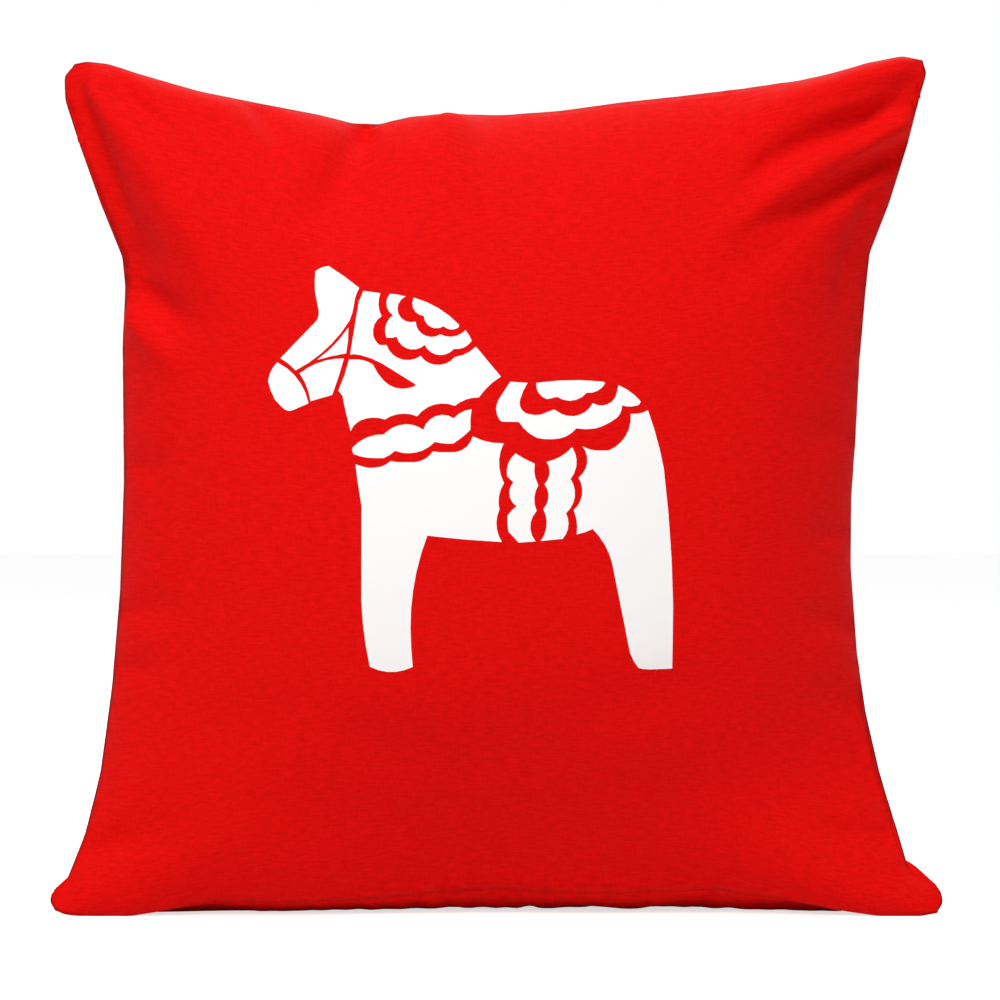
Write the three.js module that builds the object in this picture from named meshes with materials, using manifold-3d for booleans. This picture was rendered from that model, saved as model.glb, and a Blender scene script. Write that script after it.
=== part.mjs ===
// A filled square scatter cushion that stands upright and leans back a little.
// Cover: front panel with a folk horse print, back panel in two pieces joined by a coil zip.
// Inside the cover: an insert case in two halves and its fibre filling.
// Millimetres, +X to the right seen from the front, +Y to the back, +Z up.

import * as THREE from 'three';
import { mergeVertices } from 'three/addons/utils/BufferGeometryUtils.js';
import Module from 'manifold-3d';

const wasm = await Module();
wasm.setup();

// ---- Driving dimensions -------------------------------------------------------------------

// Outline of the filled cushion, along the side seam
const corner_width = 440;        // bottom corner to bottom corner, and the same at the top
const corner_height = 428;       // floor to a top corner
const side_pull = 37;            // how far each side seam is drawn in at its middle
const top_dip = 28;              // how far the top seam is drawn down at its middle
const bottom_lift = 10;          // how far the bottom seam is drawn up at its middle
const outline_power = 2.5;       // how long the corners hold before the seams curve in

// Filled shape
const front_depth = 80;          // seam plane to the front of the bulge
const back_depth = 80;           // seam plane to the back of the bulge
const bulge_power = 0.6;         // roundness of the bulge towards the seam
const lean_angle = THREE.MathUtils.degToRad(5);
const toe_step = 26;             // how far the bottom seam steps forward under the front
const toe_reach = 50;            // height over which that step fades
const foot_sag = 90;             // how far the filling settles at the back of the bottom edge
const foot_reach = 0.3;          // share of the half height that settles
const foot_softness = 12;        // depth at which half of that settling is reached

// Cloth, seams and insert
const cover_wall = 1.0;          // cover cloth
const seam_gap = 0.4;            // free space between the two layers in the side seam
const seam_rim = 1.2;            // half thickness of the cover at the side seam
const allowance_width = 10;      // cloth turned in at the side seam
const allowance_wall = 0.5;
const overlock_width = 1.6;
const overlock_half_height = 1.0;
const overlock_rounding = 0.06;  // share by which the overlocked edge is clipped at the corners
const insert_margin = 14;        // side seam of the cover to side seam of the insert
const insert_rounding = 0.12;    // share by which the insert stops short of the corners
const insert_wall = 0.6;
const insert_seam_half_gap = 0.7;
const insert_front_room = 2;     // cover to insert at the front
const insert_floor_room = 1.5;   // cover to insert where the cushion stands
const insert_back_room = 8;      // cover to insert at the back, which leaves room for the zip
const filling_room = 0.8;
const filling_rim = 0.1;
const touching_gap = 0.3;        // free space between pieces that lie on each other

// Zip in the back panel
const zip_height = 150;          // floor to the middle of the zip
const zip_length = 280;          // stop to stop
const zip_recess = 3.6;          // cloth outside to the middle of the tape
const tape_width = 13;
const tape_thickness = 0.6;
const tape_overrun = 10;         // tape past each stop
const tape_slit = 0.9;           // half the free space between the two tapes
const coil_width = 2.3;
const coil_height = 2.0;
const window_room = 1.6;         // slider to the edge of the opening between the back panels
const window_overrun = 5;        // opening past each stop
const stop_length = 3;
const stitch_inset = 2.5;        // edge of the opening to the topstitch
const stitch_width = 0.8;
const stitch_height = 0.4;
const bar_tack_width = 2.4;
const bar_tack_overrun = 2;      // bar tack past the edge of the opening

// Slider and pull
const slider_length = 11;
const slider_half_width = 4.6;
const slider_nose_half_width = 3.312;
const slider_plate = 1.2;
const slider_clearance = 0.4;
const post_half_width = 0.5;
const post_length = 3;
const flange_width = 1.0;
const bridge_width = 2.0;
const bridge_length = 6;
const bridge_bar = 1.0;
const bridge_opening = 1.8;      // free height under the bridge, for the pull's bar
const pull_length = 26;
const pull_width = 7.5;
const pull_thickness = 1.2;
const pull_bar = 1.2;
const slider_end_room = 0.5;     // slider to the closed-end stops
const join_lap = 0.2;            // how far blocks that are joined run into each other

// Print
const print_thickness = 0.3;
const print_size = 1.01;         // the horse over its drawn corners
const print_left = -110.7;       // left edge of the horse
const print_bottom = 122.7;      // underside of the hooves
const print_deepest = 120;       // print prisms start this far in front of the seam plane

// Mesh fineness
const skin_cells = 14;           // cells across each panel
const edge_crowding = 0.3;       // share by which the cells are smaller towards the seam
const bend_cells = 24;           // cells along the zip
const cut_floor = -5;            // cutting bodies reach below the floor
const arc_tolerance = 0.12;      // how far an outline may cut inside its arc

// ---- Solids and cuts ----------------------------------------------------------------------

function solidFrom(geometry) {
  const plain = geometry.index ? geometry.clone() : geometry;
  plain.deleteAttribute('normal');
  plain.deleteAttribute('uv');
  const merged = mergeVertices(plain, 1e-4);
  return new wasm.Manifold(new wasm.Mesh({
    numProp: 3,
    vertProperties: new Float32Array(merged.attributes.position.array),
    triVerts: new Uint32Array(merged.index.array),
  }));
}

function geometryFrom(solid) {
  const mesh = solid.getMesh();
  const geometry = new THREE.BufferGeometry();
  geometry.setAttribute('position', new THREE.BufferAttribute(new Float32Array(mesh.vertProperties), 3));
  geometry.setIndex(new THREE.BufferAttribute(new Uint32Array(mesh.triVerts), 1));
  return geometry;
}

// A box given by its lowest and highest corners.
function block(low, high, cellsAlong = 1) {
  const size = high.map((value, axis) => value - low[axis]);
  const geometry = new THREE.BoxGeometry(size[0], size[1], size[2], cellsAlong, 1, 1);
  geometry.translate((low[0] + high[0]) / 2, (low[1] + high[1]) / 2, (low[2] + high[2]) / 2);
  return geometry;
}

// Moves every corner of a geometry by a function of its place.
function reshape(geometry, place) {
  const position = geometry.attributes.position;
  for (let i = 0; i < position.count; i++) {
    const moved = place(position.getX(i), position.getY(i), position.getZ(i));
    position.setXYZ(i, moved[0], moved[1], moved[2]);
  }
  return geometry;
}

// ---- Filled shape of the cushion ----------------------------------------------------------

const half_size = corner_width / 2;
const FRONT = -1;
const BACK = 1;

// Across (-1 left, 1 right) and up (-1 bottom, 1 top) name a place on the cushion.
function halfWidthAt(up) {
  return half_size - side_pull * (1 - Math.abs(up) ** outline_power);
}

function heightAt(across, up) {
  const drawn = 1 - Math.abs(across) ** outline_power;
  const low = bottom_lift * drawn;
  const high = corner_height - top_dip * drawn;
  return (low + high) / 2 + up * (high - low) / 2;
}

function seamDepthAt(height) {
  return height * Math.tan(lean_angle) - toe_step * Math.exp(-height / toe_reach);
}

function bulgeAt(across, up) {
  return ((1 - across ** 2) * (1 - up ** 2)) ** bulge_power;
}

// One skin of the cushion: inset from the side seam, depth of its bulge, half thickness at
// its rim, its lowest height over the floor, and the rounding of its corners.
function skinPoint(skin, side, across, up) {
  const scale = (1 - skin.inset / half_size) * (1 - skin.rounding * (across * up) ** 4);
  const acrossIn = across * scale;
  const upIn = up * scale;
  const depth = skin.rim + skin.depth * bulgeAt(across, up);
  const height = heightAt(acrossIn, upIn);
  let sag = 0;
  if (side === BACK) {
    const nearBottom = Math.exp(-(((upIn + 1) / foot_reach) ** 2));
    const bulge = depth - skin.rim;
    sag = foot_sag * nearBottom * (1 - acrossIn ** 4) * bulge / (bulge + foot_softness);
  }
  return [
    acrossIn * halfWidthAt(upIn),
    seamDepthAt(height) + side * depth,
    Math.max(skin.floor, height - sag),
  ];
}

// Cells get narrower towards the seams, where the bulge turns fastest.
function spread(value) {
  return (1 + edge_crowding) * value - edge_crowding * value ** 3;
}

// Turns the diagonals of one face of a box grid, so that both large faces are split alike and
// a thin shell keeps its thickness. Cells are listed as corners a, b, d and b, c, d.
const front_face = 3;
function turnDiagonals(grid) {
  const index = grid.index;
  const { start, count } = grid.groups[front_face];
  for (let i = start; i < start + count; i += 6) {
    index.setX(i + 2, index.getX(i + 4));
    index.setX(i + 3, index.getX(i));
  }
  return grid;
}

// The space between two skins of one side, or between a front and a back skin.
function between(frontSkin, frontSide, backSkin, backSide) {
  const grid = turnDiagonals(new THREE.BoxGeometry(2, 2, 2, skin_cells, 1, skin_cells));
  return reshape(grid, (x, y, z) => (y < 0
    ? skinPoint(frontSkin, frontSide, spread(x), spread(z))
    : skinPoint(backSkin, backSide, spread(x), spread(z))));
}

function shellOf(side, outer, inner) {
  return side === FRONT
    ? solidFrom(between(outer, FRONT, inner, FRONT))
    : solidFrom(between(inner, BACK, outer, BACK));
}

function skin(inset, depth, rim, floor, rounding = 0) {
  return { inset, depth, rim, floor, rounding };
}

const depthOn = { [FRONT]: front_depth, [BACK]: back_depth };
const insertRoomOn = { [FRONT]: insert_front_room, [BACK]: insert_back_room };
const seam_half_gap = seam_gap / 2;

function coverOuter(side) {
  return skin(0, depthOn[side], seam_rim, 0);
}

function coverInner(side) {
  return skin(cover_wall, depthOn[side] - cover_wall + seam_rim - seam_half_gap, seam_half_gap, cover_wall);
}

// A thin film lying on the cover between two heights over the cloth.
function filmOn(side, low, high) {
  const lower = skin(0, depthOn[side], seam_rim + low, 0);
  const upper = skin(0, depthOn[side], seam_rim + high, 0);
  return shellOf(side, upper, lower);
}

// A flat frame in the seam plane, from one inset to another.
function seamFrame(insetOut, insetIn, depthLow, depthHigh, side) {
  const outerLow = skin(insetOut, 0, depthLow, 0);
  const outerHigh = skin(insetOut, 0, depthHigh, 0);
  const cutLow = skin(insetIn, 0, depthLow - 1, cut_floor);
  const cutHigh = skin(insetIn, 0, depthHigh + 1, cut_floor);
  return shellOf(side, outerHigh, outerLow).subtract(shellOf(side, cutHigh, cutLow));
}

// ---- Cover panels -------------------------------------------------------------------------

function coverShell(side) {
  const allowanceLow = seam_half_gap + 0.1;
  const allowance = seamFrame(cover_wall / 2, allowance_width, allowanceLow,
    allowanceLow + allowance_wall, side);
  return shellOf(side, coverOuter(side), coverInner(side)).add(allowance);
}

const far = 2 * corner_height;
const zip_half_length = zip_length / 2;
const window_half_length = zip_half_length + window_overrun;
const window_half_height = slider_half_width + window_room;

const windowCut = solidFrom(block(
  [-window_half_length, 0, zip_height - window_half_height],
  [window_half_length, far, zip_height + window_half_height],
));

function backPanel(low, high) {
  const slice = solidFrom(block([-far, -far, low], [far, far, high]));
  return coverShell(BACK).intersect(slice).subtract(windowCut);
}

function overlockThread() {
  const insetOut = allowance_width + touching_gap;
  const insetIn = insetOut + overlock_width;
  const lowest = cover_wall + touching_gap;
  const upper = skin(insetOut, 0, overlock_half_height, lowest, overlock_rounding);
  const cut = skin(insetIn, 0, overlock_half_height + 1, cut_floor, overlock_rounding);
  return solidFrom(between(upper, FRONT, upper, BACK))
    .subtract(solidFrom(between(cut, FRONT, cut, BACK)));
}

// ---- Insert and filling -------------------------------------------------------------------

const insert_floor = cover_wall + insert_floor_room;

// A skin of the insert, some distance under its outside.
function insertSkin(side, under, rim) {
  const depth = depthOn[side] - cover_wall - insertRoomOn[side] - under;
  return skin(insert_margin + under, depth, rim, insert_floor + under, insert_rounding);
}

function insertCase(side) {
  const outer = insertSkin(side, 0, insert_seam_half_gap + insert_wall);
  return shellOf(side, outer, insertSkin(side, insert_wall, insert_seam_half_gap));
}

function fibreFilling() {
  const under = insert_wall + filling_room;
  const front = insertSkin(FRONT, under, filling_rim);
  return solidFrom(between(front, FRONT, insertSkin(BACK, under, filling_rim), BACK));
}

// ---- Zip line: an upright cone that follows the back of the cushion -------------------------

// Depth of the cover's back at a place seen from behind.
function backDepthAt(x, height) {
  let up = 0;
  let across = 0;
  for (let step = 0; step < 30; step++) {
    const middle = (heightAt(across, 1) + heightAt(across, -1)) / 2;
    const reach = (heightAt(across, 1) - heightAt(across, -1)) / 2;
    up = (height - middle) / reach;
    across = x / halfWidthAt(up);
  }
  return skinPoint(coverOuter(BACK), BACK, across, up)[1];
}

const tape_reach = zip_half_length + tape_overrun;
const zip_middle_depth = backDepthAt(0, zip_height);
const zip_end_drop = zip_middle_depth - backDepthAt(tape_reach, zip_height);
// The slope of the zip is taken part of the way to its ends, where the back is less steep.
const slope_place = 0.7 * tape_reach;
const slope_span = 10;
const zip_slope = Math.atan2(
  backDepthAt(slope_place, zip_height + slope_span) - backDepthAt(slope_place, zip_height - slope_span),
  2 * slope_span,
);
const zip_radius = (zip_end_drop ** 2 + tape_reach ** 2) / (2 * zip_end_drop);
const zip_axis_depth = zip_middle_depth - zip_recess - zip_radius;

// Straight zip pieces lie along X, with Y out of the cloth and Z across the tape.
function bendToBack(geometry) {
  return reshape(geometry, (along, out, over) => {
    const turn = along / zip_radius;
    const radius = zip_radius + out * Math.cos(zip_slope) + over * Math.sin(zip_slope);
    return [
      radius * Math.sin(turn),
      zip_axis_depth + radius * Math.cos(turn),
      zip_height + over * Math.cos(zip_slope) - out * Math.sin(zip_slope),
    ];
  });
}

const tape_top = tape_thickness / 2;
const coil_bottom = tape_top + touching_gap;
const coil_top = coil_bottom + coil_height;

// Upper pieces have sign 1 and lower pieces have sign -1.
function ordered(sign, near, outer) {
  return sign > 0 ? [near, outer] : [-outer, -near];
}

function zipTape(sign) {
  const [low, high] = ordered(sign, tape_slit, tape_slit + tape_width);
  return bendToBack(block([-tape_reach, -tape_top, low], [tape_reach, tape_top, high], bend_cells));
}

function zipCoil(sign) {
  const [low, high] = ordered(sign, tape_slit, tape_slit + coil_width);
  const from = [-zip_half_length, coil_bottom, low];
  const to = [zip_half_length, coil_top, high];
  return bendToBack(block(from, to, bend_cells));
}

// A stop clamped on the tape just past the coil's end.
function zipStop(endSign, low, high) {
  const near = zip_half_length + touching_gap;
  const [from, to] = ordered(endSign, near, near + stop_length);
  return bendToBack(block([from, coil_bottom, low], [to, coil_top + 0.3, high]));
}

// ---- Slider and pull ----------------------------------------------------------------------

const slider_rest = zip_half_length - slider_end_room - slider_length / 2;
const under_plate_top = -tape_top - slider_clearance;
const upper_plate_bottom = coil_top + slider_clearance;
const upper_plate_top = upper_plate_bottom + slider_plate;
const flange_bottom = tape_top + slider_clearance;
const bridge_top = upper_plate_top + bridge_opening + bridge_bar;
const pull_pivot = upper_plate_top + bridge_opening / 2;
const bridge_swing = Math.hypot(bridge_length / 2, bridge_top - pull_pivot);

// Plan outline of a slider plate: blunt where the coils join, wider where they part.
function sliderPlate(low, high) {
  const half = slider_length / 2;
  const shape = new THREE.Shape();
  shape.moveTo(-half, -slider_half_width);
  shape.quadraticCurveTo(half * 0.4, -slider_half_width, half, -slider_nose_half_width);
  shape.lineTo(half, slider_nose_half_width);
  shape.quadraticCurveTo(half * 0.4, slider_half_width, -half, slider_half_width);
  shape.quadraticCurveTo(-half * 1.08, 0, -half, -slider_half_width);
  const options = { depth: high - low, bevelEnabled: false, curveSegments: 6 };
  const geometry = new THREE.ExtrudeGeometry(shape, options);
  return geometry.applyMatrix4(new THREE.Matrix4().makeRotationX(-Math.PI / 2)).translate(0, low, 0);
}

function zipSlider() {
  const half = slider_length / 2;
  const inner = slider_half_width - flange_width;
  let slider = solidFrom(sliderPlate(under_plate_top - slider_plate, under_plate_top));
  slider = slider.add(solidFrom(sliderPlate(upper_plate_bottom, upper_plate_top)));
  slider = slider.add(solidFrom(block(
    [-half * 0.95, under_plate_top - join_lap, -post_half_width],
    [-half * 0.95 + post_length, upper_plate_bottom + join_lap, post_half_width],
  )));
  for (const sign of [-1, 1]) {
    const [low, high] = ordered(sign, inner, slider_half_width);
    const from = [-half * 0.8, flange_bottom, low];
    const to = [half * 0.3, upper_plate_bottom + join_lap, high];
    slider = slider.add(solidFrom(block(from, to)));
  }
  const bridge = solidFrom(block(
    [-bridge_length / 2, upper_plate_top - join_lap, -bridge_width / 2],
    [bridge_length / 2, bridge_top, bridge_width / 2],
  ));
  const bridgeOpening = solidFrom(block(
    [-bridge_length / 2 + bridge_bar, upper_plate_top, -bridge_width],
    [bridge_length / 2 - bridge_bar, bridge_top - bridge_bar, bridge_width],
  ));
  return slider.add(bridge.subtract(bridgeOpening));
}

// The pull's bar lies under the bridge at the origin, and the tab lies back over the closed coil.
function zipPull() {
  const shape = new THREE.Shape();
  const half = pull_width / 2;
  const eye = bridge_width / 2 + pull_bar + touching_gap;
  const eyeEnd = bridge_swing + touching_gap + pull_bar;
  shape.moveTo(pull_bar / 2, -eye);
  shape.lineTo(pull_bar / 2, eye);
  shape.lineTo(-eyeEnd, half);
  shape.lineTo(-pull_length + half, half);
  shape.absarc(-pull_length + half, 0, half, Math.PI / 2, 1.5 * Math.PI, false);
  shape.lineTo(-eyeEnd, -half);
  shape.closePath();
  const opening = new THREE.Path();
  const openHalf = bridge_width / 2 + touching_gap;
  const openEnd = -bridge_swing - touching_gap;
  opening.moveTo(-pull_bar / 2, -openHalf);
  opening.lineTo(openEnd, -openHalf);
  opening.lineTo(openEnd, openHalf);
  opening.lineTo(-pull_bar / 2, openHalf);
  opening.closePath();
  shape.holes.push(opening);
  const options = { depth: pull_thickness, bevelEnabled: false, curveSegments: 8 };
  const geometry = new THREE.ExtrudeGeometry(shape, options);
  geometry.translate(0, 0, -pull_thickness / 2);
  return geometry.applyMatrix4(new THREE.Matrix4().makeRotationX(-Math.PI / 2));
}

// ---- Print: a folk horse, as separate fields of white ink -----------------------------------

// Each field is an outline taken anticlockwise. A corner is [x, z] from the lower left of the
// horse. A third number makes the edge that leads to that corner an arc: how far its middle
// stands out from the straight edge, or in when it is negative.
const print_fields = {
  muzzle: [
    [4, 147.5], [-0.5, 138.5, 0.9], [3, 129.5, 0.4], [8, 124.5, 0.2], [12.5, 124.5, 0.6],
    [19.5, 127.5], [4, 147.5, 2.9],
  ],
  forehead: [
    [22, 192], [22, 182, 0.2], [24, 172.5], [21.5, 166, -1], [5.5, 149.5], [13, 143.5, -0.4],
    [39, 167.5, 2.5], [41, 175, 0.3], [43.5, 183.5, -0.5], [28.5, 194.5, 0.3], [22, 192, 0.6],
  ],
  cheek: [[38.5, 164], [23.5, 148.5, -1], [37.5, 151.5, -0.3], [38.5, 164, 0.4]],
  jaw: [[15, 142], [20.5, 128.5, -0.9], [31, 131.5], [36.5, 149, 0.2], [15, 142, 2]],
  neck: [
    [45.5, 182], [43.5, 177, -0.2], [39.5, 151], [44.5, 150.7, -0.2], [55, 146.5, -0.4],
    [71, 136.5], [71, 135.5], [65, 134.2, -0.3], [56, 138, -1], [50.5, 146, -0.4],
    [43.5, 148.5, 0.5], [39, 148.5], [34, 133.5, -0.4], [36, 131], [37.5, 124], [40, 114],
    [45, 119.2, -0.7], [56.5, 119.5, -1.1], [72, 121, -2], [90, 126, -3.2], [101.5, 130, -1.1],
    [112, 140, -0.8], [100, 154.5], [90, 149.5, -1], [73.5, 150, -4.1], [57, 155.5, -4.4],
    [53.3, 155.6, -0.2], [54.5, 169.5, -3.5], [53.8, 180.8, -1.2], [45.5, 182],
  ],
  mane_band: [
    [58.5, 180.5], [60, 170, 2.4], [57, 159, 1.9], [62, 159.5, 0.3], [75.5, 155.5, 4.1],
    [89.5, 153.5, 4], [97.5, 156.7, 1.2], [98, 157.5], [95, 162.5, 0.2], [83, 160.5, -2.1],
    [71, 166.8, -4], [66, 179.2, -6.3], [58.5, 180.5, 0.2],
  ],
  mane_lobe: [
    [70, 178.5], [75, 169.5, 2.7], [84.5, 164.5, 3.2], [91, 163.5, 1.1], [92, 165, 0.3],
    [70, 178.5, 1.8],
  ],
  chest_band: [
    [41, 106], [41.5, 103, 0.3], [48, 101.2, 0.2], [56, 101, 0.1], [61.5, 104.5, 0.3],
    [80.5, 108.7, 3], [84, 108], [89.5, 108, 0.2], [97.5, 114.5, 0.3], [98, 124.3, -0.3],
    [89.5, 120, 0.9], [75, 114.5, 4], [58, 114, 2.9], [56, 112.3], [41, 106, 1.8],
  ],
  foreleg: [
    [42.5, 98], [43.5, 90.5], [45.5, 78], [45.5, 33], [49.5, 1.5, 0.7], [70, 1.5, 2.5],
    [69, 20, -0.2], [77, 64, -2.1], [112.5, 61, 0.3], [111.3, 76.5, -2], [113.5, 89, -1.3],
    [113.3, 108, -2.3], [98.6, 111.3, -1], [90.5, 103.8, -1.7], [82.7, 103.7], [79.7, 104.2],
    [71, 99, -1.2], [62.5, 99], [59.5, 99.6], [51.8, 96.4, -0.8], [47.3, 96.6, -0.2], [42.5, 98],
  ],
  saddle_top: [
    [129, 137], [134, 129.2, 1.7], [139, 130.3], [153, 132.3, 2.8], [162, 137, 1.6],
    [161, 137.7], [129, 137, 1],
  ],
  saddle_band: [
    [116.5, 137.5], [111, 129], [111.3, 119.4, 1.4], [113.8, 118.3, 0.4], [120.5, 118.3],
    [129.5, 110.5, 0.9], [140.2, 110.4, 0.5], [148, 115.2, 0.8], [157.3, 115.2, 0.4],
    [167.8, 120.6, 0.6], [170, 126.3, 0.6], [177, 126.2, 0.5], [179, 128.3, 0.5],
    [168.4, 136, 0.8], [167.6, 132.5], [156, 127.3, -3.4], [138.5, 123.6, -4.3],
    [136.8, 124, 0.2], [131, 121.7], [125.4, 121.9, -0.3], [121.2, 129, -1.9],
    [124.8, 137, -0.4], [116.5, 137.5],
  ],
  hind_leg: [
    [182.5, 124], [177.5, 122.3, -0.3], [174.2, 122.2], [163.5, 104.6, -3.4], [157.3, 104.6],
    [151, 106.6, -0.4], [149, 91.6, -3.2], [146.7, 76.2, -2.9], [148.1, 64.6, -0.8],
    [155.7, 67.2, 0.3], [165, 51, -1.3], [173.6, 8.2], [177.7, 0.8, 0.4], [183.2, 0, 0.2],
    [194, 0.3], [194.3, 31], [190, 96, 0.8], [182.5, 124, 0.6],
  ],
  girth_left: [
    [119, 103.2], [115, 92.2, 1.6], [118, 89.4], [119.5, 78, 2.7], [115.2, 73.6, 0.3],
    [115.6, 66, 0.3], [120.5, 60.7], [128.5, 61.3], [129, 75.8, -2.8], [129.8, 88, -1.5],
    [128.1, 98.3, -0.9], [119, 103.2, -0.3],
  ],
  girth_right: [
    [146, 106.2], [133.8, 99.2, -1.2], [132.8, 88.5, -1.9], [132.2, 76.7, -2.2],
    [131, 61.5, -2.2], [141.4, 62.5], [143, 74.7, 1.9], [145.2, 91, 3.1], [146, 106.2, 2.5],
  ],
};

// Adds the arc or straight edge from one corner to the next.
function addEdge(shape, from, to) {
  const [x0, z0] = from;
  const [x1, z1, rise = 0] = to;
  if (rise === 0) {
    shape.lineTo(x1, z1);
    return;
  }
  const chord = Math.hypot(x1 - x0, z1 - z0);
  const radius = (chord ** 2 / 4 + rise ** 2) / (2 * Math.abs(rise));
  const inward = radius - Math.abs(rise);
  const side = Math.sign(rise);
  const centreX = (x0 + x1) / 2 - side * inward * (z1 - z0) / chord;
  const centreZ = (z0 + z1) / 2 + side * inward * (x1 - x0) / chord;
  const start = Math.atan2(z0 - centreZ, x0 - centreX);
  const sweep = side * 2 * Math.acos(inward / radius);
  const stepAngle = 2 * Math.acos(1 - Math.min(1, arc_tolerance / radius));
  const steps = Math.max(2, Math.ceil(Math.abs(sweep) / stepAngle));
  for (let step = 1; step < steps; step++) {
    const angle = start + sweep * step / steps;
    shape.lineTo(centreX + radius * Math.cos(angle), centreZ + radius * Math.sin(angle));
  }
  shape.lineTo(x1, z1);
}

const frontFilm = filmOn(FRONT, touching_gap, touching_gap + print_thickness);

function printField(corners) {
  const shape = new THREE.Shape();
  shape.moveTo(corners[0][0], corners[0][1]);
  for (let i = 1; i < corners.length; i++) {
    addEdge(shape, corners[i - 1], corners[i]);
  }
  const prism = new THREE.ExtrudeGeometry(shape, { depth: print_deepest, bevelEnabled: false });
  prism.applyMatrix4(new THREE.Matrix4().makeRotationX(Math.PI / 2));
  prism.scale(print_size, 1, print_size);
  prism.translate(print_left, 0, print_bottom);
  return solidFrom(prism).intersect(frontFilm);
}

// ---- Materials ----------------------------------------------------------------------------

function finish(color, roughness, metalness = 0) {
  return new THREE.MeshStandardMaterial({ color, roughness, metalness });
}

const looks = {
  cover: () => finish('#d8140e', 0.85),
  print: () => finish('#fbfaf8', 0.7),
  thread: () => finish('#c8120d', 0.6),
  tape: () => finish('#b5120e', 0.8),
  coil: () => finish('#a8100c', 0.4),
  metal: () => finish('#a9a9ab', 0.35, 1),
  insert: () => finish('#f2f0ea', 0.9),
  filling: () => finish('#ffffff', 1),
};

// ---- Assembly -----------------------------------------------------------------------------

const group = new THREE.Group();

function addPiece(name, shape, look, parent = group) {
  const geometry = shape instanceof THREE.BufferGeometry ? shape : geometryFrom(shape);
  const mesh = new THREE.Mesh(geometry, looks[look]());
  mesh.name = name;
  parent.add(mesh);
  return mesh;
}

addPiece('front_panel', coverShell(FRONT), 'cover');
addPiece('back_panel_lower', backPanel(-far, zip_height - seam_half_gap), 'cover');
addPiece('back_panel_upper', backPanel(zip_height + seam_half_gap, far), 'cover');
addPiece('overlock_thread', overlockThread(), 'thread');

addPiece('insert_case_front', insertCase(FRONT), 'insert');
addPiece('insert_case_back', insertCase(BACK), 'insert');
addPiece('fibre_filling', fibreFilling(), 'filling');

const tape_edge = tape_slit + coil_width;
const sides = { upper: 1, lower: -1 };
const backFilm = filmOn(BACK, touching_gap, touching_gap + stitch_height);
for (const [side, sign] of Object.entries(sides)) {
  addPiece(`zip_tape_${side}`, zipTape(sign), 'tape');
  addPiece(`zip_coil_${side}`, zipCoil(sign), 'coil');
  const [stopLow, stopHigh] = ordered(sign, tape_slit, tape_edge);
  addPiece(`zip_top_stop_${side}`, zipStop(1, stopLow, stopHigh), 'metal');
  const line = zip_height + sign * (window_half_height + stitch_inset);
  const stitchBox = block(
    [-window_half_length, 0, line - stitch_width / 2],
    [window_half_length, far, line + stitch_width / 2],
  );
  addPiece(`zip_topstitch_${side}`, solidFrom(stitchBox).intersect(backFilm), 'thread');
}
addPiece('zip_bottom_stop', zipStop(-1, -tape_edge, tape_edge), 'metal');

for (const [side, sign] of [['left', -1], ['right', 1]]) {
  const near = window_half_length + touching_gap;
  const [from, to] = ordered(sign, near, near + bar_tack_width);
  const tackBox = block(
    [from, 0, zip_height - window_half_height - bar_tack_overrun],
    [to, far, zip_height + window_half_height + bar_tack_overrun],
  );
  addPiece(`zip_bar_tack_${side}`, solidFrom(tackBox).intersect(backFilm), 'thread');
}

// The slider sits square to the zip line at its closed end.
const restTurn = slider_rest / zip_radius;
const sliderGroup = new THREE.Group();
sliderGroup.position.set(
  zip_radius * Math.sin(restTurn),
  zip_axis_depth + zip_radius * Math.cos(restTurn),
  zip_height,
);
sliderGroup.rotation.set(-zip_slope, 0, -restTurn, 'ZXY');
group.add(sliderGroup);
addPiece('zip_slider', zipSlider(), 'metal', sliderGroup);
const pullMesh = addPiece('zip_pull', zipPull(), 'metal', sliderGroup);
pullMesh.position.y = pull_pivot;

for (const [field, corners] of Object.entries(print_fields)) {
  addPiece(`print_${field}`, printField(corners), 'print');
}

// The origin is on the floor under the middle of the whole cushion.
group.updateMatrixWorld(true);
const whole = new THREE.Box3().setFromObject(group);
group.position.y = -(whole.min.y + whole.max.y) / 2;

export default group;
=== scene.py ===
"""Looks of a filled square scatter cushion: red cotton cover, white folk horse print, coil zip.

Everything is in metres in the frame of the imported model: +X right seen from the print, +Y to
the back with the zip, +Z up from the floor.
"""

import math

import bmesh
import bpy
import numpy as np
from mathutils import Matrix, Vector, noise
from mathutils.bvhtree import BVHTree


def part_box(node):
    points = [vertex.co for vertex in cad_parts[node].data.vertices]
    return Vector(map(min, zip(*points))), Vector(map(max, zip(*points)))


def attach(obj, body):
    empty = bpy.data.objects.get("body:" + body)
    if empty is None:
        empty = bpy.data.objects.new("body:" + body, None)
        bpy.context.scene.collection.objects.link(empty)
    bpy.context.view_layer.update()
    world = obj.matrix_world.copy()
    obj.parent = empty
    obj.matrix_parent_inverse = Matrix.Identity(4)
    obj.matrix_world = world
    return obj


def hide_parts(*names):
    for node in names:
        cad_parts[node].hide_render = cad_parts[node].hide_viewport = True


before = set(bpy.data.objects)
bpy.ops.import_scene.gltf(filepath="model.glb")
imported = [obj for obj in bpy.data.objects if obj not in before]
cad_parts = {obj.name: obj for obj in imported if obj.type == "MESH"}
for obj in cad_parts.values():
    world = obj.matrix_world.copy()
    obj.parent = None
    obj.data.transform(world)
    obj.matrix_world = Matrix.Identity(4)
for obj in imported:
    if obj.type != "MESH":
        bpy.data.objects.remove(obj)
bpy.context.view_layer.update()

MM = 0.001
FRONT = -1
BACK = 1

# ---- Size of the filled cover ---------------------------------------------------------------

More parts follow.
